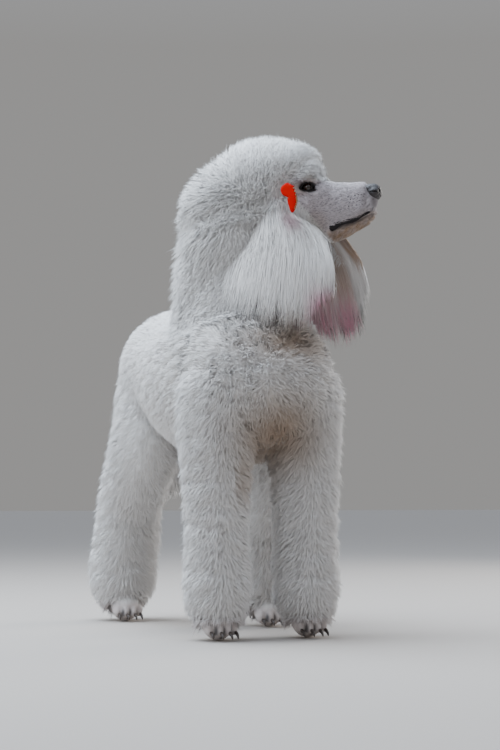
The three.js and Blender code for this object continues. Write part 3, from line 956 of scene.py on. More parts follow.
@dataclass
class Crown:
    """The dome of the skull that carries the topknot."""

    coat: float = 0.058

    def part(self) -> Part:
        """The crown, with a dense upright plush that is cut high over the eyes.

        Returns:
            The part.
        """
        stations = [
            Station(DOG.on_head(-0.176, 0, -0.064), 0.054, 0.036, 0.054),
            Station(DOG.on_head(-0.128, 0, -0.016), 0.058, 0.036, 0.056),
            Station(DOG.on_head(-0.076, 0, 0.012), 0.058, 0.042, 0.050),
            Station(DOG.on_head(-0.020, 0, 0.034), 0.046, 0.022, 0.030),
        ]

        def coat(t: Array, angle: Array) -> Array:
            """Deep all over, and cut short at the stop and over the eyes.

            Args:
                t: Shares of the length.
                angle: Angles round the part.

            Returns:
                The depth at each place.
            """
            front = smooth(t, 0.45, 1)
            back = self.coat * mix(1.3, 1.0, smooth(t, 0.1, 0.4))
            top = mix(back, self.coat * 0.72, front)
            side = mix(back * 0.78, self.coat * 0.42, front)
            bottom = mix(self.coat * 1.05, 0.004, front)
            rise = np.sin(angle)
            return mix(side, np.where(rise > 0, top, bottom), np.abs(rise))

        def lie(points: Array, normals: Array, t: Array) -> Array:
            """Forward and up in front, down and back over the nape."""
            return mix(DOG.aim(-0.25, 0, -0.9), DOG.aim(0.25, 0, 0.8), smooth(t, 0.22, 0.6)[:, None])

        loft = Loft(stations, side=DOG.aim(0, -1, 0), start_cap=0.3, end_cap=0.3)
        return Part(
            "topknot",
            loft,
            coat,
            lie,
            tufts=16000,
            stand=2.2,
            wave=0.15,
            width=0.0008,
            sizes=(56, 36),
            stray=0.45,
            fuzz=0.05,
        )


@dataclass
class Legs:
    """The four legs, each a column of feathering over a slim limb."""

    coat: float = 0.038
    front_feet: dict[str, tuple[float, float]] = field(
        default_factory=lambda: {"left": (0.089, -0.212), "right": (-0.083, -0.222)}
    )
    hind_feet: dict[str, tuple[float, float]] = field(
        default_factory=lambda: {"left": (0.118, 0.062), "right": (-0.099, 0.306)}
    )
    hips: dict[str, float] = field(default_factory=lambda: {"left": 0.195, "right": 0.212})

    def feet(self) -> list[tuple[float, float]]:
        """The places of the four feet."""
        return [*self.front_feet.values(), *self.hind_feet.values()]

    def front(self, foot: tuple[float, float]) -> Loft:
        """A front leg over its foot.

        Args:
            foot: The place of the foot.

        Returns:
            The leg's loft.
        """
        x, y = foot
        inward = -math.copysign(1, x)
        stations = [
            Station(DOG.at(x + inward * 0.008, y + 0.018, 0.475), 0.040, 0.058),
            Station(DOG.at(x + inward * 0.004, y + 0.016, 0.370), 0.037, 0.048),
            Station(DOG.at(x, y + 0.012, 0.280), 0.027, 0.031),
            Station(DOG.at(x, y + 0.010, 0.180), 0.023, 0.026),
            Station(DOG.at(x, y + 0.008, 0.090), 0.026, 0.029),
            Station(DOG.at(x, y + 0.004, 0.044), 0.028, 0.031),
        ]
        return Loft(stations, start_cap=0.1, end_cap=0.22)

    def hind(self, foot: tuple[float, float], hip_y: float) -> Loft:
        """A hind leg from its hip to its foot.

        Args:
            foot: The place of the foot.
            hip_y: How far back the hip lies.

        Returns:
            The leg's loft.
        """
        x, y = foot
        inward = -math.copysign(1, x)
        hip = np.array([math.copysign(0.054, x), hip_y, 0.500])
        knee = np.array([x + inward * 0.012, (hip_y + y) / 2 - 0.042, 0.345])
        thigh = [(hip[0] + knee[0]) / 2, (hip[1] + knee[1]) / 2 + 0.004, 0.425]
        stations = [
            Station(DOG.at(*hip), 0.046, 0.084),
            Station(DOG.at(*thigh), 0.040, 0.074),
            Station(DOG.at(*knee), 0.034, 0.054),
            Station(DOG.at(x + inward * 0.010, y - 0.002, 0.250), 0.030, 0.038),
            Station(DOG.at(x + inward * 0.008, y + 0.022, 0.168), 0.033, 0.036),
            Station(DOG.at(x + inward * 0.002, y + 0.030, 0.090), 0.035, 0.036),
            Station(DOG.at(x, y + 0.020, 0.046), 0.034, 0.034),
        ]
        return Loft(stations, start_cap=0.1, end_cap=0.18)

    def parts(self) -> list[Part]:
        """The four legs.

        Returns:
            The four legs as parts.
        """
        made = []
        for side in ("left", "right"):
            fore, hind = self.front_feet[side], self.hind_feet[side]
            made.append(self.part(f"front_leg_{side}", self.front(fore), fore))
            made.append(self.part(f"hind_leg_{side}", self.hind(hind, self.hips[side]), hind))
        return made

    def part(self, name: str, loft: Loft, foot: tuple[float, float]) -> Part:
        """A leg whose hair parts down the front and flows to both sides.

        Args:
            name: The leg's node.
            loft: The leg's loft.
            foot: The place of the foot.

        Returns:
            The leg.
        """
        middle = DOG.at(*foot, 0)[0]

        def lie(points: Array, normals: Array, t: Array) -> Array:
            """Down and out to the sides.

            Args:
                points: Rows of places.
                normals: The skin's normals there; not used.
                t: Shares of the length; not used.

            Returns:
                The direction of the hair at each place.
            """
            aside = np.clip((points[:, 0] - middle) / 0.03, -1, 1) * 0.6 + 0.12 * ripple(points, 0.08, 11)
            out = np.zeros_like(points)
            out[:, 0] = aside
            out[:, 2] = -0.9
            return unit(out)

        return Part(
            name,
            loft,
            even(self.coat),
            lie,
            tufts=13000,
            clump=Clump.FEATHER,
            stand=0.95,
            wave=0.1,
            width=0.0008,
            sizes=(40, 48),
            span=(0.05, 1),
            stray=0.3,
            fuzz=0.06,
            tone_and_root_shade=0.2,
        )


@dataclass
class Tail:
    """The tail, bare at its root, with a hanging brush."""

    coat: float = 0.034

    def part(self) -> Part:
        """The tail.

        Returns:
            The part.
        """
        path = [
            (0, 0.296, 0.556, 0.019),
            (0.002, 0.345, 0.552, 0.016),
            (0.005, 0.378, 0.505, 0.014),
            (0.008, 0.388, 0.430, 0.012),
            (0.010, 0.386, 0.350, 0.010),
            (0.010, 0.380, 0.290, 0.007),
        ]
        stations = [Station(DOG.at(x, y, z), size, size) for x, y, z, size in path]

        def coat(t: Array, angle: Array) -> Array:
            """Short at the root, deep over the brush."""
            return self.coat * smooth(t, 0.22, 0.5) + 0.003

        def lie(points: Array, normals: Array, t: Array) -> Array:
            """Straight down."""
            return np.tile(DOWN, (len(points), 1))

        loft = Loft(stations, start_cap=0.04, end_cap=0.06)
        return Part(
            "tail",
            loft,
            coat,
            lie,
            tufts=3500,
            clump=Clump.FEATHER,
            stand=0.5,
            wave=0.2,
            width=0.0013,
            sizes=(24, 40),
            span=(0.02, 1),
            knots=4,
        )


@dataclass
class Ear:
    """One ear: a thin leather under long straight hair that fans out past its end."""

    side: int
    set_back: tuple[float, ...] = (-0.006, -0.008, 0.0, -0.003, -0.020)
    root: tuple[float, float, float] = (-0.046, 0.058, -0.024)
    leather: float = 0.160
    thick: float = 0.0135
    forward: float = 0.0
    drops: tuple[float, ...] = (-0.008, 0.034, 0.082, 0.130, 0.246)
    flare: tuple[float, ...] = (0, 0.012, 0.026, 0.034, 0.036)
    fan: tuple[float, ...] = (0.026, 0.042, 0.070, 0.088, 0.104)
    leather_fan: tuple[float, ...] = (0.026, 0.036, 0.058, 0.07, 0.066)
    hem: float = 0.234
    strands: int = 6600
    knots: int = 5
    lock_angle: float = 0.13
    pull: float = 0.34

    @property
    def name(self) -> str:
        """The ear's node."""
        return "ear_left" if self.side > 0 else "ear_right"

    def at(self, ahead: float, out: float, drop: float) -> Array:
        """A point of the ear, ahead of its root, out from the head and down."""
        swing = self.forward * drop / self.leather
        forward, aside, up = self.root
        return DOG.on_head(forward + ahead + swing, self.side * (aside + out), up - drop)

    def loft(self, thick: float, wide: tuple[float, ...], cap: float) -> Loft:
        """The ear's sheet.

        Args:
            thick: Its thickness as a share of the leather with its coat.
            wide: Its half-widths from the root to the end.
            cap: The share of its length over which its end closes.

        Returns:
            The sheet as a loft.
        """
        rows = zip(self.drops, self.set_back, self.flare, wide)
        stations = [Station(self.at(ahead, out, drop), w, self.thick * thick) for drop, ahead, out, w in rows]
        return Loft(stations, side=DOG.aim(1, 0, 0), start_cap=0.08, end_cap=cap, bow=-self.side * 0.024)

    def share(self, drop: Array) -> Array:
        """The share of the sheet's length at which it has dropped so far."""
        return np.interp(drop, self.drops, np.linspace(0, 1, len(self.drops)))

    def flesh(self) -> bpy.types.Object:
        """The leather, as part of the skin."""
        short = replace(self, drops=(*self.drops[:4], self.leather * 0.92))
        return lofted(self.name, short.loft(0.5, self.leather_fan, 0.12), 48, 32, -0.002)

    def hair(self, rng: np.random.Generator, material: bpy.types.Material) -> bpy.types.Object:
        """Long strands that run down over the leather, gathered in locks, and hang past its end.

        Args:
            rng: Seeded chance.
            material: The coat's material.

        Returns:
            The ear's coat.
        """
        sheet = self.loft(0.72, self.fan, 0.02)
        count = self.strands
        t0 = rng.uniform(0.0, 1.0, count) ** 0.85 * self.share(self.leather * 0.9)
        angle = rng.uniform(0, 2 * math.pi, count)
        inner = np.sin(angle) * self.side < 0
        bare = inner & (np.abs(np.cos(angle)) < 0.7) & (t0 < 0.5)
        t0, angle, inner = t0[~bare], angle[~bare], inner[~bare]
        count = len(t0)
        lock = np.round(angle / self.lock_angle + 0.3 * np.sin(t0 * 9))
        gather = lock * self.lock_angle
        across = np.cos(angle)
        fine = rng.uniform(0, 1, count) < 0.08
        hem = self.hem - 0.022 * (across - 0.3) ** 2 - 0.055 * smooth(across, 0.6, 1.05)
        hem = hem - 0.034 * rng.uniform(0, 1, count) ** 1.5 + 0.006 * np.sin(lock * 2.4 + 1.7) + 0.008 * fine
        end = np.minimum(t0 + rng.uniform(0.36, 0.6, count), self.share(hem))
        lift = rng.uniform(0.001, 0.0075, count) * (1 + 1.5 * across**4) * np.where(fine, 1.25, 1.0)
        pull = self.pull * rng.uniform(0.3, 1.5, count)
        stray = rng.normal(0, 0.06, count) * np.where(fine, 2.2, 1.0) + 0.06 * np.sin(t0 * 23 + angle * 7)
        sway = 0.03 * np.sin(lock * 1.9)
        knots = []
        for s in np.linspace(0, 1, self.knots):
            t = t0 + (end - t0) * s
            turn = angle + (gather - angle) * pull * s + stray * s**2 + sway * math.sin(s * 5)
            depth = -0.002 + (lift + 0.002) * math.sin(min(1.0, 0.25 + s) * math.pi * 0.62)
            knots.append(sheet.surface(t, turn, depth))
        curve = np.stack(knots, axis=1)
        normal = sheet.normal(t0, angle)
        profile = np.array([0.7, 1.0, 0.9, 0.6])[: self.knots - 1]
        width = rng.uniform(0.0006, 0.0012, count) * np.where(fine, 0.5, 1.0)
        made = tuft_object(f"coat_{self.name}", curve, width, profile, normal, np.stack([angle, t0], 1), 0.62)
        per = 3 * (self.knots - 1) + 1
        places = points_of(made.data)
        deep = inner * (1 - smooth(np.abs(across), 0.62, 0.84)) * rng.uniform(0.7, 1.1, count).clip(0, 1)
        deep = np.repeat(deep, per) * (0.72 + 0.28 * ripple(places, 0.03, 43)).clip(0, 1)
        low = smooth(DOG.on_head(0, 0, 0)[2] - places[:, 2], 0.17, 0.235)
        # The light tan over all of the ear's hair is painted shade; the deeper tan and the pink on the inner
        # strands are their own colour.
        mark(made.data, tan=0.13 + deep * (0.82 - 0.6 * low), pink=deep * (0.06 + 0.8 * low))
        return dressed(made, material, Slot.COAT)

    def inside(self, mesh: bpy.types.Mesh) -> tuple[Array, Array]:
        """The bare inner face of the leather, on the skin.

        Args:
            mesh: The whole skin.

        Returns:
            The strength of the tan and of the pink there.
        """
        ahead, left, up = DOG.head_parts(points_of(mesh))
        face = smooth(-(normals_of(mesh) @ DOG.left) * self.side, 0.1, 0.6)
        here = (left * self.side > 0.048) * smooth(-up, 0.05, 0.09) * (up > -0.22) * (ahead > -0.17)
        return 0.75 * face * here, 0.15 * face * here


@dataclass
class Face:
    """The shaved face: skull, muzzle, lids and lips."""

    length: float = 0.250
    eye: float = 0.012
    look: float = -0.42
    lids: tuple[float, float, float] = (0.0140, 0.012, 0.0084)
    corner_drop: float = 0.0022
    mouth_corner: tuple[float, float] = (0.038, -0.081)
    mouth_front: tuple[float, float] = (0.116, -0.053)

    def loft(self) -> Loft:
        """The head: shares of its length ahead of the eyes, then the middle, half-width, top and bottom.

        Returns:
            The loft.
        """
        sections = [
            (-0.47, -0.02, 0.11, 0.15, 0.14),
            (-0.37, -0.02, 0.185, 0.19, 0.24),
            (-0.24, -0.04, 0.215, 0.23, 0.3),
            (-0.1, -0.08, 0.205, 0.245, 0.32),
            (0.03, -0.12, 0.175, 0.19, 0.29),
            (0.15, -0.15, 0.135, 0.187, 0.238),
            (0.28, -0.136, 0.114, 0.168, 0.184),
            (0.385, -0.108, 0.098, 0.138, 0.15),
            (0.450, -0.088, 0.078, 0.112, 0.114),
        ]
        stations = [
            Station(
                DOG.on_head(ahead * self.length, 0, middle * self.length),
                wide * self.length,
                top * self.length,
                bottom * self.length,
            )
            for ahead, middle, wide, top, bottom in sections
        ]
        return Loft(stations, side=DOG.aim(0, -1, 0), start_cap=0.1, end_cap=0.065, square=2.2)

    def facing(self, turn: float) -> tuple[Array, Array]:
        """The directions ahead and aside on the head, turned towards its left."""
        ahead = math.cos(turn) * DOG.forward + math.sin(turn) * DOG.left
        return ahead, -math.sin(turn) * DOG.forward + math.cos(turn) * DOG.left

    def head_egg(
        self,
        name: str,
        place: tuple[float, float, float],
        sizes: tuple[float, float, float],
        turn: float = 0.0,
    ) -> bpy.types.Object:
        """An egg on the head.

        Args:
            name: The egg's name.
            place: How far ahead, left and up of the middle of the eyes it lies.
            sizes: Its half-sizes ahead, aside and up.
            turn: How far it is turned towards the head's left.

        Returns:
            The egg.
        """
        ahead, aside = self.facing(turn)
        return egg(name, DOG.on_head(*place), [sizes[0] * ahead, sizes[1] * aside, sizes[2] * -DOWN])

    def mouth_share(self, ahead: Array, up: Array) -> tuple[Array, Array]:
        """How far along the line of the mouth each place is, and how far over it.

        Args:
            ahead: How far ahead of the eyes each place is.
            up: How far over them.

        Returns:
            Both distances.
        """
        run = np.array(self.mouth_front) - np.array(self.mouth_corner)
        way = run / np.linalg.norm(run)
        off_a, off_u = ahead - self.mouth_corner[0], up - self.mouth_corner[1]
        along = (off_a * way[0] + off_u * way[1]) / np.linalg.norm(run)
        over = -off_a * way[1] + off_u * way[0]
        return along, over - 0.0012 * np.sin(np.clip(along, 0, 1) * 8)

    def flesh(self) -> bpy.types.Object:
        """The head, with brows, cheeks, lips and the opening of each eye.

        Returns:
            The head, as part of the skin.
        """
        parts = [lofted("head", self.loft(), 64, 72)]
        for side in (-1, 1):
            parts.append(self.head_egg("lid", (-0.001, side * 0.030, -0.003), (self.eye + 0.0026,) * 3))
            parts.append(self.head_egg("brow", (-0.004, side * 0.027, 0.010), (0.019, 0.012, 0.009)))
            parts.append(self.head_egg("cheek", (-0.022, side * 0.041, -0.034), (0.034, 0.014, 0.022)))
            parts.append(self.head_egg("whisker_pad", (0.086, side * 0.013, -0.040), (0.025, 0.014, 0.017)))
        parts.append(self.head_egg("nose_base", (0.103, 0, -0.024), (0.0175, 0.0185, 0.0235)))
        made = remeshed(joined("head", parts), 0.0021, 3)
        for side in (-1, 1):
            without(made, self.opening(side))
        return made

    def opening(self, side: int) -> bpy.types.Object:
        """The almond between the lids of one eye, pointed towards the nose.

        Args:
            side: -1 for the right and 1 for the left.

        Returns:
            The cutter.
        """
        made = ball("opening")
        p = points_of(made.data)
        ahead, aside = self.facing(side * self.look)
        long, deep, tall = self.lids
        rise = p[:, 2] * tall * (1 - 0.5 * p[:, 0] ** 2) * np.where(p[:, 2] < 0, 0.7, 1.0)
        rise = rise - self.corner_drop * p[:, 0] ** 2
        off = p[:, :1] * long * ahead + p[:, 1:2] * deep * aside + rise[:, None] * -DOWN
        set_points(made.data, off + DOG.on_head(0.0025, side * 0.043, -0.003))
        return made

    def shape(self, mesh: bpy.types.Mesh) -> dict[str, Array]:
        """Presses the line of the mouth and the folds into the skin.

        Args:
            mesh: The whole skin.

        Returns:
            The strength of the dark rims on each vertex.
        """
        p = points_of(mesh)
        n = normals_of(mesh)
        ahead, left, up = DOG.head_parts(p)
        along, over = self.mouth_share(ahead, up)
        on_mouth = smooth(along, -0.02, 0.03) * (ahead < 0.14) * (np.abs(left) < 0.05)
        line = on_mouth * bell(over, 0.0019)
        lip = on_mouth * bell(np.abs(over) - 0.0045, 0.0026)
        set_points(mesh, p + n * (0.0011 * lip - 0.0034 * line)[:, None])
        uneven = ripple(p, 0.009, 21)
        band = mix(0.0046, 0.0026, np.clip(along, 0, 1)) * (1 + 0.25 * uneven)
        dark = 0.7 * on_mouth * bell(over, band)
        speckle = on_mouth * bell(over + 0.004, 0.007) * smooth(ripple(p, 0.006, 22), 0.1, 0.9)
        dark = np.maximum(dark, 0.55 * speckle)
        for side in (-1, 1):
            look = side * self.look
            a = (ahead - 0.001) * math.cos(look) + (left - side * 0.037) * math.sin(look)
            rim = np.sqrt((a / 0.0172) ** 2 + ((up + 0.003) / 0.0108) ** 2)
            near = (np.abs(left - side * 0.036) < 0.02) * (np.abs(ahead) < 0.032)
            dark = np.maximum(dark, near * (1 - smooth(rim, 0.75, 1.4)) ** 1.5)
            corner = np.sqrt((ahead - 0.016) ** 2 + (up + 0.006) ** 2 + (left - side * 0.03) ** 2)
            dark = np.maximum(dark, 0.6 * (1 - smooth(corner, 0.002, 0.007)))
        under_nose = smooth(ahead, 0.1, 0.116) * smooth(up, -0.05, -0.036) * (1 - smooth(up, -0.024, -0.008))
        by_nose = smooth(ahead, 0.088, 0.106) * smooth(up, -0.036, -0.022)
        dark = np.maximum(dark, np.maximum(0.7 * under_nose, 0.5 * by_nose))
        return {"dark": np.clip(dark, 0, 1)}

    def lip_line(self, fleece: "Fleece", side: int) -> bpy.types.Object:
        """The dark edge of the lips on one side, thick at the corner and thin in front.

        Args:
            fleece: Finds the skin.
            side: -1 for the right and 1 for the left.

        Returns:
            The edge.
        """
        share = np.linspace(0, 1, 9)
        ahead = mix(self.mouth_corner[0], self.mouth_front[0] + 0.001, share)
        up = mix(self.mouth_corner[1], self.mouth_front[1], share)
        up = up + 0.0012 * np.sin(share * 8)
        places = np.array([DOG.on_head(a, side * 0.034, u) for a, u in zip(ahead, up)])
        _, where, normal = fleece.seat(places, 0.05)
        wide = mix(0.0064, 0.0024, share) * (1 + 0.2 * np.sin(share * 13))
        stations = [Station(at + n * 0.0003, w, 0.0016) for at, n, w in zip(where, normal, wide)]
        return outward(lofted("lip_line", Loft(stations, side=-DOWN, start_cap=0.05, end_cap=0.1), 12, 48))

    def rim(self, fleece: "Fleece", side: int) -> bpy.types.Object:
        """The dark edge of the lids of one eye, drawn out to the front corner.

        Args:
            fleece: Finds the skin.
            side: -1 for the right and 1 for the left.

        Returns:
            The edge, a ring.
        """
        bpy.ops.object.select_all(action="DESELECT")
        bpy.ops.mesh.primitive_torus_add(
            major_segments=48, minor_segments=10, major_radius=1, minor_radius=0.1
        )
        made = bpy.context.active_object
        made.name = "lid_rim"
        p = points_of(made.data)
        round_eye = np.arctan2(p[:, 1], p[:, 0])
        out = np.hypot(p[:, 0], p[:, 1]) - 1
        long, _, tall = self.lids
        c, s = np.cos(round_eye), np.sin(round_eye)
        a = c * (long * 1.02 + 0.0035 * (c > 0) * c**4)
        u = s * tall * (1 - 0.3 * c**2) * np.where(s < 0, 0.72, 1.0) - self.corner_drop * c**2
        slant = math.cos(self.look)
        ring = np.stack([DOG.on_head(0.0025 + x * slant, side * 0.05, y - 0.003) for x, y in zip(a, u)])
        _, where, normal = fleece.seat(ring, 0.03)
        spread = unit(where - where.mean(axis=0))
        thick = 0.0125 + 0.006 * (c > 0) * c**4
        set_points(made.data, where + spread * (out * thick)[:, None] + normal * (p[:, 2:] * 0.012 + 0.0002))
        return outward(made)

    def whiskers(self, fleece: "Fleece") -> bpy.types.Object:
        """Rows of dark whisker roots on both sides of the muzzle, as low beads on the skin.

        Args:
            fleece: Finds the skin.

        Returns:
            The beads as one piece.
        """
        places = []
        for side in (-1, 1):
            for row in range(4):
                for step in range(6 - row // 2):
                    ahead = 0.104 - 0.0062 * step - 0.0015 * row
                    up = -0.014 - 0.0066 * row - 0.0012 * step
                    places.append(DOG.on_head(ahead, side * 0.034, up))
        _, where, _ = fleece.seat(np.array(places), 0.05)
        beads = [egg("whisker_root", at, list(np.eye(3) * 0.0013), 8, 6) for at in where]
        return joined("whisker_roots", beads)


@dataclass
class Paws:
    """The shaved paws: a pad and four toes each, with claws."""

    top: float = 0.042
    toes: tuple[tuple[float, float], ...] = (
        (-0.021, 0.016),
        (-0.0075, 0.027),
        (0.0075, 0.027),
        (0.021, 0.016),
    )

    def toe(self, foot: tuple[float, float], aside: float, ahead: float) -> Loft:
        """One toe.

        Args:
            foot: The place of the foot.
            aside: How far aside the toe lies.
            ahead: How far it reaches ahead.

        Returns:
            The toe's loft.
        """

        def at(forward: float, up: float, spread: float = 1.0) -> Array:
            """A point of the toe."""
            return DOG.at(foot[0] + aside * spread, foot[1] - forward, up)

        stations = [
            Station(at(-0.008, 0.026, 0.8), 0.0088, 0.011),
            Station(at(ahead * 0.6, 0.025), 0.0092, 0.012),
            Station(at(ahead + 0.008, 0.0125, 1.05), 0.0088, 0.0125),
        ]
        return Loft(stations, start_cap=0.3, end_cap=0.4)

    def claw(self, foot: tuple[float, float], aside: float, ahead: float) -> Loft:
        """One claw, which curves down to just over the floor.

        Args:
            foot: The place of the foot.
            aside: How far aside the claw lies.
            ahead: How far its toe reaches ahead.

        Returns:
            The claw's loft.
        """

        def at(forward: float, up: float) -> Array:
            """A point of the claw."""
            return DOG.at(foot[0] + aside * 1.08, foot[1] - ahead - forward, up)

        stations = [
            Station(at(0.010, 0.0155), 0.0031, 0.0040),
            Station(at(0.021, 0.012), 0.0026, 0.0032),
            Station(at(0.027, 0.0048), 0.0011, 0.0014),
        ]
        return Loft(stations, start_cap=0.15, end_cap=0.25)

    def toe_gap_shade(self, mesh: bpy.types.Mesh, feet: list[tuple[float, float]]) -> Array:
        """Painted shade in the gaps between the toes.

        Args:
            mesh: The whole skin.
            feet: The places of the feet.

        Returns:
            The strength of the painted shade on each vertex.
        """
        dog = points_of(mesh) - DOG.origin
        dark = np.zeros(len(dog))
        middles = [(a[0] + b[0]) / 2 for a, b in zip(self.toes, self.toes[1:])]
        for x, y in feet:
            here = (dog[:, 1] < y - 0.012) * (dog[:, 1] > y - 0.07) * (1 - smooth(dog[:, 2], 0.02, 0.034))
            for middle in middles:
                dark = np.maximum(dark, 0.85 * here * bell(dog[:, 0] - x - middle, 0.0028))
        return dark

    def flesh(self, foot: tuple[float, float]) -> list[bpy.types.Object]:
        """The pad and toes of one paw."""
        middle = DOG.at(foot[0], foot[1] + 0.002, 0.030)
        pad = egg("pad", middle, [0.028 * X_AXIS, np.array([0, 0.033, 0]), np.array([0, 0, 0.0295])])
        return [pad] + [lofted("toe", self.toe(foot, *each), 20, 16) for each in self.toes]


@dataclass(frozen=True)
class Patch:
    """A stretch of hair that is told by its place on the skin rather than by a loft."""

    name: str
    tufts: int
    where: OnSkin
    rise: OnSkin
    lie: OnSkin
    stand: float = 0.7
    width: float = 0.0011
    clump: Clump = Clump.PLUSH
    wave: float = 0.1
    pieces: int = 1
    knots: int = 3
    stray: float = 0.35
    grizzle: float = 0.0
    fuzz: float = 0.0
    # Strength of the tan painted at the roots of the tufts as shade.
    tone_and_root_shade: float = 0.0


@dataclass(frozen=True)
class HeadHair:
    """The hair over the forehead and temples, and the fine fur of the shaved face."""

    face: Face
    brow_rise: float = 0.024
    temple_rise: float = 0.017
    fur_rise: float = 0.0022

    def bare(self, points: Array) -> Array:
        """How far each place lies in the shaved part of the face."""
        return MARKINGS_AND_SHADE.at(points)["bare"]

    def brow(self) -> Patch:
        """Hair that stands forward from the forehead and overhangs the eyes and the stop.

        Returns:
            The patch.
        """

        def where(points: Array) -> Array:
            """The forehead, from the eyes up."""
            ahead, left, up = DOG.head_parts(points)
            front = smooth(ahead, -0.045, -0.01) * (ahead < 0.024) * (np.abs(left) < 0.055)
            return front * (up > 0.004) * (1 - self.bare(points))

        def rise(points: Array) -> Array:
            """Shorter towards the stop and the eyes."""
            ahead, _, up = DOG.head_parts(points)
            stop = mix(1.0, 0.35, smooth(ahead, -0.02, 0.02))
            return self.brow_rise * stop * mix(0.55, 1, smooth(up, 0.006, 0.03))

        def lie(points: Array) -> Array:
            """Up on the forehead, forward and down over the eyes.

            Args:
                points: Rows of places.

            Returns:
                The direction of the hair at each place.
            """
            _, left, up = DOG.head_parts(points)
            lift = mix(-0.3, 0.7, smooth(up, 0.006, 0.035))
            aside = np.sign(left) * 0.25
            return np.stack([DOG.aim(0.8, a, b) for a, b in zip(aside, lift)])

        return Patch("brow", 5500, where, rise, lie, stand=1.1, width=0.0008)

    def temple(self) -> Patch:
        """Hair on the temples and cheeks, up to the edge of the shaved face.

        Returns:
            The patch.
        """

        def where(points: Array) -> Array:
            """Behind the eye, in front of the ear and down to the corner of the jaw."""
            ahead, left, up = DOG.head_parts(points)
            side = (np.abs(left) > 0.018) * (np.abs(left) < 0.07) * (up > -0.125) * (up < 0.03)
            return side * (ahead > -0.09) * (ahead < 0.06) * (1 - self.bare(points))

        def rise(points: Array) -> Array:
            """Longer away from the shaved edge."""
            ahead, _, up = DOG.head_parts(points)
            return self.temple_rise * mix(0.3, 1.0, smooth(MARKINGS_AND_SHADE.border(up) - ahead, 0, 0.03))

        def lie(points: Array) -> Array:
            """Down and back."""
            return np.tile(DOG.aim(-0.25, 0, -0.9), (len(points), 1))

        return Patch("temples", 6000, where, rise, lie, stand=0.8, width=0.0008)

    def fur(self) -> Patch:
        """The short fur of the shaved face.

        Returns:
            The patch.
        """

        def where(points: Array) -> Array:
            """The shaved part, without the lids and the line of the mouth.

            Args:
                points: Rows of places.

            Returns:
                The share of hair at each place.
            """
            ahead, _, up = DOG.head_parts(points)
            eye = (np.abs(ahead - 0.001) < 0.018) * (np.abs(up + 0.003) < 0.011)
            along, over = self.face.mouth_share(ahead, up)
            mouth = (along > -0.06) * (np.abs(over) < mix(0.0055, 0.003, np.clip(along, 0, 1)))
            return self.bare(points) * (up > -0.13) * (1 - eye) * (1 - mouth) * (ahead < 0.105)

        def rise(points: Array) -> Array:
            """The same all over."""
            return np.full(len(points), self.fur_rise)

        def lie(points: Array) -> Array:
            """Back along the muzzle and down the cheek."""
            return np.tile(DOG.aim(-1, 0, -0.25), (len(points), 1))

        return Patch(
            "face",
            8000,
            where,
            rise,
            lie,
            clump=Clump.SHORT,
            stand=0.36,
            width=0.0006,
            wave=0.0,
            grizzle=0.6,
        )


# The coat


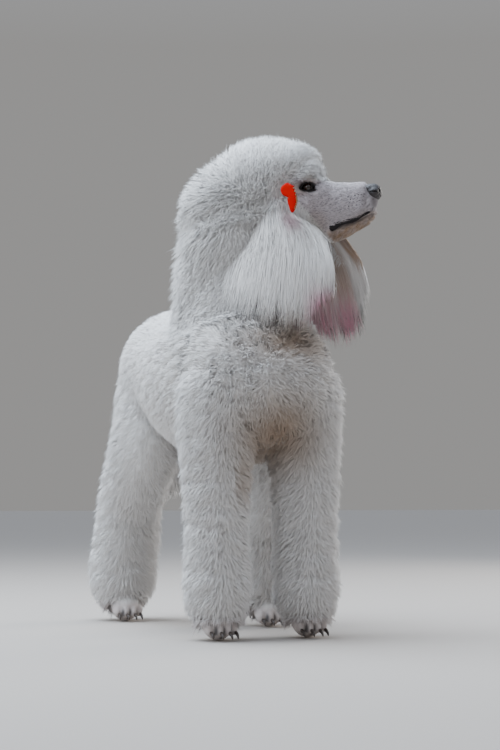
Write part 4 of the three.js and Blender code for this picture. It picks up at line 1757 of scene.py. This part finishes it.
@dataclass
class Fleece:
    """Grows tufts over the skin as joined solid mesh.

    The steps from each tuft to the next, as shares of the length and of the turn, spread the tufts evenly.
    """

    skin: bpy.types.Object
    seed: int = 3
    steps: tuple[float, float] = (0.7548776662466927, 0.5698402909980532)
    sunk: float = 0.0015

    def __post_init__(self) -> None:
        """Prepares the search for places on the skin."""
        mesh = self.skin.data
        self.tree = BVHTree.FromObject(self.skin, bpy.context.evaluated_depsgraph_get())
        self.normals = normals_of(mesh)
        self.corner = np.empty(len(mesh.polygons), np.int32)
        mesh.polygons.foreach_get("loop_start", self.corner)
        self.loop = np.empty(len(mesh.loops), np.int32)
        mesh.loops.foreach_get("vertex_index", self.loop)
        self.rng = np.random.default_rng(self.seed)

    def seat(self, points: Array, reach: float) -> tuple[Array, Array, Array]:
        """The skin's places nearest to some points.

        Args:
            points: Rows of places near the skin.
            reach: How far the skin may be from a place.

        Returns:
            Whether each place has skin within reach, the place on the skin and its smooth normal.
        """
        found = [self.tree.find_nearest(Vector(p), reach) for p in points]
        good = np.array([hit[0] is not None for hit in found])
        where = np.array([tuple(hit[0]) if hit[0] is not None else (0, 0, 0) for hit in found])
        faces = np.array([hit[2] if hit[0] is not None else 0 for hit in found])
        return good, where, unit(self.normals[self.loop[self.corner[faces]]])

    def scatter(self, part: Part) -> tuple[Array, Array]:
        """Evenly spread shares of the length and angles on a part.

        Args:
            part: The part of the body.

        Returns:
            The shares and the angles.
        """
        grid = np.linspace(0, 1, 241)
        ring = np.linspace(0, 2 * math.pi, 25)[:-1]
        t, angle = [a.ravel() for a in np.meshgrid(grid, ring, indexing="ij")]
        depth = part.core(t, angle)
        rows = part.loft.surface(t, angle, depth).reshape(len(grid), len(ring), 3)
        girth = np.linalg.norm(rows - np.roll(rows, 1, axis=1), axis=2).sum(axis=1)
        run = np.linalg.norm(np.diff(rows, axis=0), axis=2).mean(axis=1)
        area = np.concatenate([[0], np.cumsum((girth[1:] + girth[:-1]) / 2 * run)])
        area /= area[-1]
        count = part.tufts
        i = np.arange(count)
        share = (0.5 + i * self.steps[0]) % 1
        angle = 2 * math.pi * ((0.5 + i * self.steps[1]) % 1)
        t = np.interp(share, area, grid) + self.rng.normal(0, 0.001, count)
        keep = (t > part.span[0]) & (t < part.span[1])
        return t[keep], (angle + self.rng.normal(0, 0.01, count))[keep]

    def grow(self, part: Part, material: bpy.types.Material) -> list[bpy.types.Object]:
        """Covers a part with its coat.

        Args:
            part: The part of the body.
            material: The coat's material.

        Returns:
            The new pieces.
        """
        t, angle = self.scatter(part)
        core = part.core(t, angle)
        good, root, normal = self.seat(part.loft.surface(t, angle, core), 0.012)
        t, angle, core, root, normal = t[good], angle[good], core[good], root[good], normal[good]
        rise = part.coat(t, angle) - core
        lie = part.lie(root, normal, t)
        round_off = 1 - 0.65 * smooth(t, *part.settle)
        return self.dress_roots(part, root, normal, rise, lie, np.stack([angle, t], 1), round_off, material)

    def cover(self, patch: Patch, material: bpy.types.Material) -> list[bpy.types.Object]:
        """Covers a patch of the skin.

        Args:
            patch: The patch.
            material: The coat's material.

        Returns:
            The new pieces.
        """
        mesh = self.skin.data
        count = len(mesh.polygons)
        centre, area = np.empty(count * 3, np.float32), np.empty(count, np.float32)
        mesh.polygons.foreach_get("center", centre)
        mesh.polygons.foreach_get("area", area)
        centre = centre.reshape(-1, 3).astype(float)
        weight = area * np.clip(patch.where(centre), 0, 1)
        face = self.rng.choice(count, patch.tufts, p=weight / weight.sum())
        jitter = self.rng.normal(size=(patch.tufts, 3)) * np.sqrt(area[face])[:, None] * 0.4
        good, root, normal = self.seat(centre[face] + jitter, 0.01)
        root, normal = root[good], normal[good]
        ahead, left, up = DOG.head_parts(root)
        chart = np.stack([np.arctan2(up + 0.04, left), np.clip((ahead + 0.2) / 0.4, 0, 1)], 1)
        ones = np.ones(len(root))
        return self.dress_roots(patch, root, normal, patch.rise(root), patch.lie(root), chart, ones, material)

    def dress_roots(
        self,
        kind: Part | Patch,
        root: Array,
        normal: Array,
        rise: Array,
        lie: Array,
        chart: Array,
        round_off: Array,
        material: bpy.types.Material,
    ) -> list[bpy.types.Object]:
        """Grows one tuft from each root.

        Args:
            kind: The part or patch that tells how the hair stands, waves and gathers.
            root: Places on the skin.
            normal: The skin's normals there.
            rise: Heights of the tufts.
            lie: Directions in which the hair lies.
            chart: Places on the unwrapped skin.
            round_off: Strength of the rounding of each gather.
            material: The coat's material.

        Returns:
            The new pieces.
        """
        count = len(root)
        lead, off = self.leaders(root, kind.clump)
        _, pull, dome = kind.clump.value
        dome = dome * round_off
        rounded = 1 - 0.42 * dome * np.sum(off**2, axis=1).clip(0, 1)
        rise = rise * self.rng.uniform(0.86, 1.1, count) * rounded
        fine = self.rng.uniform(0, 1, count) < kind.fuzz
        rise = rise * np.where(fine, self.rng.uniform(1.04, 1.22, count), 1.0)
        lie = lie + (kind.stray * np.where(fine, 2.0, 1.0))[:, None] * self.rng.normal(size=(count, 3))
        lie = unit(lie - normal * np.sum(lie * normal, axis=1, keepdims=True))
        slant = kind.stand * self.rng.uniform(0.85, 1.2, count)
        tip = root + normal * rise[:, None] + lie * (rise / slant)[:, None]
        strength = (pull * self.rng.uniform(0.5, 1.3, count))[:, None]
        tip = tip + (tip[lead] + (root - root[lead]) * 0.25 - tip) * strength
        tip = tip + off * (0.3 * dome * rise)[:, None]
        middle = root + normal * (rise * 0.62)[:, None] + (tip - root) * 0.28
        waves = np.cross(normal, lie) * (kind.wave * rise * self.rng.choice([-1, 1], count))[:, None]
        shade = unit(normal + 0.9 * dome[:, None] * off)
        width = kind.width * self.rng.uniform(0.75, 1.3, count) * np.where(fine, 0.45, 1.0)
        share = np.linspace(0, 1, kind.knots)[None, :, None]
        start = root - shade * self.sunk
        curve = (1 - share) ** 2 * start[:, None] + 2 * share * (1 - share) * middle[:, None]
        curve = curve + share**2 * tip[:, None]
        curve = curve + np.sin(share * 2 * math.pi) * share * waves[:, None]
        return self.pieces(kind, curve, width, shade, chart, material)

    def leaders(self, root: Array, clump: Clump) -> tuple[Array, Array]:
        """The tuft that each tuft gathers round, and how far off it is as a share of the spacing.

        Args:
            root: Places on the skin.
            clump: How the tufts gather.

        Returns:
            The leader's index and the offset, for each tuft.
        """
        spacing = clump.value[0]
        lead, _ = nearest_heads(root, np.floor(root / spacing).astype(int))
        off = (root - root[lead]) / (spacing * 0.62)
        return lead, off / np.maximum(1, np.linalg.norm(off, axis=1, keepdims=True))

    def pieces(
        self,
        kind: Part | Patch,
        curve: Array,
        width: Array,
        normal: Array,
        chart: Array,
        material: bpy.types.Material,
    ) -> list[bpy.types.Object]:
        """Makes the tufts as one or more meshes.

        Args:
            kind: The part or patch.
            curve: For each tuft, its points from root to tip.
            width: The half-width of each tuft.
            normal: The direction that each tuft's shading faces.
            chart: Places on the unwrapped skin.
            material: The coat's material.

        Returns:
            The new pieces.
        """
        share = np.linspace(0, 1, kind.knots)
        profile = np.array([0.75, 1.0, 0.62][: kind.knots - 1])
        # Painted shade: tan on each tuft, strongest at its root and none at its tip.
        deep = kind.tone_and_root_shade * (1 - np.concatenate([np.repeat(share[:-1], 3), [1.0]]))
        made = []
        order = np.arange(len(curve)) % kind.pieces
        for k in range(kind.pieces):
            mine = order == k
            count = mine.sum()
            name = f"coat_{kind.name}" + (f"_{k + 1}" if kind.pieces > 1 else "")
            obj = tuft_object(name, curve[mine], width[mine], profile, normal[mine], chart[mine], 0.72)
            per = len(obj.data.vertices) // count
            # Each tuft's own random cream tone, with the painted root shade laid over it.
            tone_and_root_shade = (self.rng.uniform(0, 0.09, count)[:, None] + deep[None]).ravel()
            dark = np.repeat(self.rng.uniform(0, 1, count) ** 2 * kind.grizzle, per)
            mark(obj.data, np.repeat(curve[mine].mean(axis=1), per, axis=0), tan=tone_and_root_shade, dark=dark)
            made.append(dressed(obj, material, Slot.COAT))
        return made


def tuft_object(
    name: str,
    curve: Array,
    width: Array,
    profile: Array,
    normal: Array,
    chart: Array,
    soft: float,
) -> bpy.types.Object:
    """Three-sided tufts along curves, joined as one mesh.

    Args:
        name: The piece's name.
        curve: For each tuft, its points from root to tip.
        width: Half-width of each tuft.
        profile: Width at each point but the tip, as a share of the whole.
        normal: The skin's normal at each root.
        chart: The root's angle and share of the length, which place it on the unwrapped skin.
        soft: How far the shading follows the skin rather than the tuft.

    Returns:
        The new piece.
    """
    count, knots = curve.shape[:2]
    tangent = unit(np.gradient(curve, axis=1))
    side = unit(np.cross(tangent, normal[:, None]))
    out = np.cross(side, tangent)
    turn = np.array([math.pi / 2, math.pi * 7 / 6, math.pi * 11 / 6])
    rings = knots - 1
    half = (width[:, None] * profile[None])[:, :, None, None]
    spread = side[:, :rings, None] * np.cos(turn)[None, None, :, None]
    spread = spread + out[:, :rings, None] * np.sin(turn)[None, None, :, None] * 0.7
    body = (curve[:, :rings, None] + half * spread).reshape(count, rings * 3, 3)
    points = np.concatenate([body, curve[:, -1:]], axis=1)
    per = rings * 3 + 1
    faces = [(0, 1, 2)]
    for r in range(rings - 1):
        for a in range(3):
            b = (a + 1) % 3
            faces.append((r * 3 + a, r * 3 + b + 3, r * 3 + b))
            faces.append((r * 3 + a, r * 3 + a + 3, r * 3 + b + 3))
    for a in range(3):
        faces.append(((rings - 1) * 3 + a, per - 1, (rings - 1) * 3 + (a + 1) % 3))
    faces = np.array(faces)
    all_faces = (faces[None] + (np.arange(count) * per)[:, None, None]).reshape(-1, 3)
    mesh = bpy.data.meshes.new(name)
    mesh.vertices.add(count * per)
    mesh.vertices.foreach_set("co", points.astype(np.float32).ravel())
    mesh.loops.add(all_faces.size)
    mesh.loops.foreach_set("vertex_index", all_faces.astype(np.int32).ravel())
    mesh.polygons.add(len(all_faces))
    mesh.polygons.foreach_set("loop_start", np.arange(0, all_faces.size, 3, dtype=np.int32))
    mesh.update(calc_edges=True)
    made = bpy.data.objects.new(name, mesh)
    bpy.context.scene.collection.objects.link(made)
    place = np.stack([0.005 + 0.985 * (chart[:, 0] / (2 * math.pi) % 1), 0.005 + 0.985 * chart[:, 1]], 1)
    step = np.concatenate([np.repeat(np.arange(rings), 3), [rings]]) / rings
    aside = np.concatenate([np.tile([0.5, 0, 1], rings), [0.5]])
    patch = np.stack([aside, step], 1) * 0.003
    uv = (place[:, None] + patch[None]).reshape(-1, 2)
    layer = mesh.uv_layers.new(name=BAKE_MAP)
    layer.uv.foreach_set("vector", uv[all_faces.ravel()].astype(np.float32).ravel())
    spread_n = np.concatenate([unit(spread).reshape(count, rings * 3, 3), tangent[:, -1:]], axis=1)
    shading = unit(soft * normal[:, None] + (1 - soft) * spread_n).reshape(-1, 3)
    mesh.shade_smooth()
    mesh.normals_split_custom_set_from_vertices(shading)
    return made


@dataclass
class Skin:
    """One skin over the whole dog."""

    body_voxel: float = 0.0064
    curl_size: float = 0.024
    fine_voxel: float = 0.0021

    def build(
        self, parts: list[Part], face: Face, ears: list[Ear], paws: Paws, legs: Legs
    ) -> bpy.types.Object:
        """Fuses the flesh of every part.

        Args:
            parts: The parts that carry a deep coat.
            face: The shaved face.
            ears: Both ears.
            paws: The paws.
            legs: The legs, for the places of the feet.

        Returns:
            The skin.
        """
        body = remeshed(joined("skin", [part.flesh() for part in parts]), self.body_voxel, 5)
        fine = [piece for foot in legs.feet() for piece in paws.flesh(foot)] + [ear.flesh() for ear in ears]
        small = remeshed(joined("fine", fine), self.fine_voxel, 2)
        united(body, small)
        united(body, face.flesh())
        self.curl(body)
        return body

    def curl(self, body: bpy.types.Object) -> None:
        """Raises the skin under the coat in rounded tufts, high on the chest and low on the back and legs.

        Args:
            body: The skin.
        """
        p = points_of(body.data)
        n = normals_of(body.data)
        ahead, left, up = DOG.head_parts(p)
        dog = p - DOG.origin
        head = smooth(ahead, -0.2, -0.12) * smooth(up, -0.2, -0.1) * (np.abs(left) < 0.13)
        ear = smooth(np.abs(left), 0.055, 0.07) * (up > -0.26) * (ahead > -0.16)
        paw = 1 - smooth(dog[:, 2], 0.06, 0.1)
        chest = 1 - smooth(dog[:, 1], -0.19, -0.02)
        legs = 1 - smooth(dog[:, 2], 0.36, 0.44)
        height = mix(0.0028, 0.0075, np.maximum(chest * (1 - legs), 0.25 * legs))
        height = height * (1 - head) * (1 - ear) * (1 - paw)
        cells = np.floor((p + ripple(p, 0.05, 31)[:, None] * 0.006) / self.curl_size).astype(int)
        far = nearest_heads(p, cells)[1] / (self.curl_size * 0.75)
        set_points(body.data, p + n * (height * (0.5 - np.clip(far, 0, 1) ** 2))[:, None])


@dataclass
class Details:
    """Eyes, nose, claws and the clip in the hair."""

    face: Face
    beads: int = 9

    def eyes(self) -> list[bpy.types.Object]:
        """Two dark glossy balls, where the CAD has them.

        Returns:
            The eyes.
        """
        finish = PlainFinish("Dark eye", (0.022, 0.010, 0.005, 1), 0.05, coat=1.0).material()
        made = []
        for name in ("eye_left", "eye_right"):
            low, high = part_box(name)
            eye = egg(f"{name}_ball", np.array((low + high) / 2), list(np.eye(3) * self.face.eye), 48, 32)
            made.append(dressed(eye, finish, Slot.EYE, name))
        return made

    def nose(self) -> bpy.types.Object:
        """The nose leather with its nostrils and the groove below.

        Returns:
            The nose.
        """
        face = self.face
        parts = [
            face.head_egg("nose", (0.1120, 0, -0.0115), (0.0150, 0.0182, 0.0160)),
            face.head_egg("top", (0.108, 0, -0.0058), (0.0155, 0.0170, 0.0100)),
            face.head_egg("lower", (0.110, 0, -0.022), (0.009, 0.010, 0.010)),
        ]
        for side in (-1, 1):
            parts.append(face.head_egg("wing", (0.1155, side * 0.0125, -0.0125), (0.0092, 0.0072, 0.0085)))
        made = remeshed(joined("nose_leather", parts), 0.0011, 3)
        for side in (-1, 1):
            pit = (0.1255, side * 0.0085, -0.0095)
            without(made, face.head_egg("pit", pit, (0.008, 0.0034, 0.0042), side * 0.35))
            slit = (0.1165, side * 0.0175, -0.0125)
            without(made, face.head_egg("slit", slit, (0.009, 0.0042, 0.0012)))
        without(made, face.head_egg("groove", (0.1235, 0, -0.022), (0.0055, 0.0007, 0.014)))
        soften = made.modifiers.new("Soften", "SMOOTH")
        soften.iterations = 1
        finish_modifiers(made)
        black = (0.028, 0.023, 0.024, 1)
        finish = PlainFinish("Nose leather", black, 0.55, coat=0.04, pebble=0.7, pebble_size=900)
        return dressed(made, finish.material(), Slot.NOSE, "nose")

    def claws(self, paws: Paws, legs: Legs) -> list[bpy.types.Object]:
        """Four claws on each paw.

        Args:
            paws: The paws.
            legs: The legs, for the places of the feet.

        Returns:
            The claws.
        """
        finish = PlainFinish("Claw horn", (0.05, 0.035, 0.028, 1), 0.4).material()
        made = []
        for row, feet in (("front", legs.front_feet), ("hind", legs.hind_feet)):
            for side, foot in feet.items():
                for i, toe in enumerate(paws.toes):
                    name = f"claw_{row}_{side}_{i + 1}"
                    claw = lofted(f"{name}_horn", paws.claw(foot, *toe), 12, 12)
                    made.append(dressed(outward(claw), finish, Slot.CLAW, name))
        return made

    def clip(self) -> bpy.types.Object:
        """The red clip over the right temple, round above and drawn out below.

        Returns:
            The plate of the clip.
        """
        path = [
            (-0.0225, -0.088, -0.002, 0.0085),
            (-0.0210, -0.089, -0.013, 0.0130),
            (-0.0125, -0.091, -0.025, 0.0080),
            (-0.0110, -0.092, -0.035, 0.0090),
            (-0.0105, -0.093, -0.046, 0.0062),
            (-0.0115, -0.094, -0.056, 0.0030),
        ]
        stations = [Station(DOG.on_head(a, out, u), wide, 0.0036) for a, out, u, wide in path]
        loft = Loft(stations, side=DOG.aim(1, 0, 0), start_cap=0.22, end_cap=0.14, square=3.0)
        plate = lofted("red_clip", loft, 32, 32)
        t = np.linspace(0.3, 0.86, self.beads)
        edge_line = loft.surface(t, np.full(self.beads, -0.6), 0.0004)
        beads = [egg("bead", at, list(np.eye(3) * 0.0015), 10, 8) for at in edge_line]
        edge = PlainFinish("Bead edge", (0.20, 0.13, 0.03, 1), 0.35, coat=0.5).material()
        dressed(joined("clip_beads", beads), edge, Slot.ORNAMENT)
        finish = PlainFinish("Red clip", (0.50, 0.0, 0.0, 1), 0.8, gloss=0.05).material()
        return dressed(outward(plate), finish, Slot.ORNAMENT, "hair_clip")


@dataclass
class Studio:
    """A pale floor, soft lights and the camera at the photograph's angle."""

    azimuth: float = math.radians(20)
    distance: float = 3.35
    aside: float = 0.0535
    height: float = 0.248
    pitch: float = math.radians(3.97)
    lens: float = 85.0

    def floor(self) -> None:
        """The floor, which isn't part of the dog."""
        bpy.ops.object.select_all(action="DESELECT")
        bpy.ops.mesh.primitive_plane_add(size=60, location=(0, 0, 0))
        plane = bpy.context.active_object
        plane.name = "floor"
        plane.data.materials.append(PlainFinish("Pale floor", (0.46, 0.415, 0.375, 1), 0.9).material())

    def lights(self) -> None:
        """A broad light above, one at the left and a weak one from the right."""
        world = bpy.data.worlds.new("Studio")
        world.use_nodes = True
        tree = world.node_tree
        back = tree.nodes["Background"]
        where = tree.nodes.new("ShaderNodeTexCoord")
        height = tree.nodes.new("ShaderNodeSeparateXYZ")
        rise = tree.nodes.new("ShaderNodeMapRange")
        fill(rise, {"From Min": 0.25, "From Max": 0.9})
        sky = mixer(tree)
        fill(sky, {"A": (0.315, 0.31, 0.305, 1), "B": (0.86, 1.0, 1.2, 1)})
        wire(tree, where.outputs["Generated"], height.inputs[0])
        wire(tree, height.outputs["Z"], rise.inputs["Value"])
        wire(tree, rise.outputs["Result"], sky.inputs["Factor"])
        wire(tree, sky.outputs["Result"], back.inputs["Color"])
        back.inputs["Strength"].default_value = 1.0
        bpy.context.scene.world = world
        rows = [
            ("Top", (-0.7, 0.4, 3.0), 2.4, 200, (0.76, 0.87, 1.0)),
            ("Left", (-3.0, 0.2, 1.9), 2.2, 60, (0.76, 0.88, 1.0)),
            ("Right", (2.6, -2.4, 1.4), 2.0, 8, (1.0, 0.92, 0.84)),
            ("Rim", (3.0, 1.3, 1.5), 1.6, 60, (1.0, 0.97, 0.92)),
            ("Catch", (-1.9, -2.3, 1.7), 0.35, 2.5, (1.0, 1.0, 1.0)),
        ]
        for name, place, size, power, colour in rows:
            bpy.ops.object.light_add(type="AREA", location=place)
            lamp = bpy.context.active_object
            lamp.name = f"{name} light"
            lamp.data.size = size
            lamp.data.energy = power
            lamp.data.color = colour
            lamp.rotation_euler = (Vector((0, 0, 0.5)) - Vector(place)).to_track_quat("-Z", "Y").to_euler()

    def camera(self) -> None:
        """The camera."""
        view = np.array([math.sin(self.azimuth), math.cos(self.azimuth), 0])
        right = np.array([math.cos(self.azimuth), -math.sin(self.azimuth), 0])
        place = DOG.at(0, 0, self.height) - view * self.distance + right * self.aside
        aim = view * math.cos(self.pitch) + np.array([0, 0, math.sin(self.pitch)])
        data = bpy.data.cameras.new("Camera")
        data.lens = self.lens
        camera = bpy.data.objects.new("Camera", data)
        bpy.context.scene.collection.objects.link(camera)
        camera.location = Vector(place)
        camera.rotation_euler = Vector(aim).to_track_quat("-Z", "Y").to_euler()
        bpy.context.scene.camera = camera


FLESH_NODES = (
    *("head", "lower_jaw", "topknot", "neck", "torso", "tail", "ear_left", "ear_right"),
    *("front_leg_left", "front_leg_right", "hind_leg_left", "hind_leg_right"),
    *("paw_front_left", "paw_front_right", "paw_hind_left", "paw_hind_right"),
)


def main() -> None:
    """Builds the dog and its studio."""
    logging.basicConfig(level=logging.INFO, format="%(message)s")
    face, paws, legs = Face(), Paws(), Legs()
    swung_ear = Ear(
        side=1,
        hem=0.252,
        forward=0.038,
        drops=(-0.008, 0.034, 0.082, 0.130, 0.262),
        fan=(0.024, 0.042, 0.062, 0.070, 0.075),
        set_back=(0, 0, 0.006, 0.008, 0.006),
    )
    ears = [swung_ear, Ear(side=-1)]
    trunk = Trunk()
    parts = [trunk.torso(), trunk.neck(), Crown().part(), *legs.parts(), Tail().part()]
    skin = Skin().build(parts, face, ears, paws, legs)
    shadows = face.shape(skin.data)
    # The toe gaps add painted shade to the dark rims of the mouth, eyes and nose.
    shadows["dark"] = np.maximum(shadows["dark"], paws.toe_gap_shade(skin.data, legs.feet()))
    shaded = np.max([ear.inside(skin.data) for ear in ears], axis=0)
    mark(skin.data, tan=shaded[0], pink=shaded[1], **shadows)
    dressed(skin, SKIN.material(), Slot.FACE, *FLESH_NODES)
    fleece = Fleece(skin)
    white = COAT_WHITE.material()
    for part in parts:
        fleece.grow(part, white)
    hair = HeadHair(face)
    for patch in (hair.brow(), hair.temple(), hair.fur()):
        fleece.cover(patch, white)
    for ear in ears:
        ear.hair(fleece.rng, white)
    roots = PlainFinish("Whisker roots", (0.05, 0.045, 0.05, 1), 0.6).material()
    dressed(face.whiskers(fleece), roots, Slot.FACE)
    rims = PlainFinish("Dark rims", (0.012, 0.009, 0.009, 1), 0.6, gloss=0.2).material()
    for side in (-1, 1):
        dressed(face.lip_line(fleece, side), rims, Slot.FACE)
        dressed(face.rim(fleece, side), rims, Slot.FACE)
    details = Details(face)
    details.eyes()
    details.nose()
    details.claws(paws, legs)
    details.clip()
    studio = Studio()
    studio.floor()
    studio.lights()
    studio.camera()


if __name__ == "__main__":
    main()
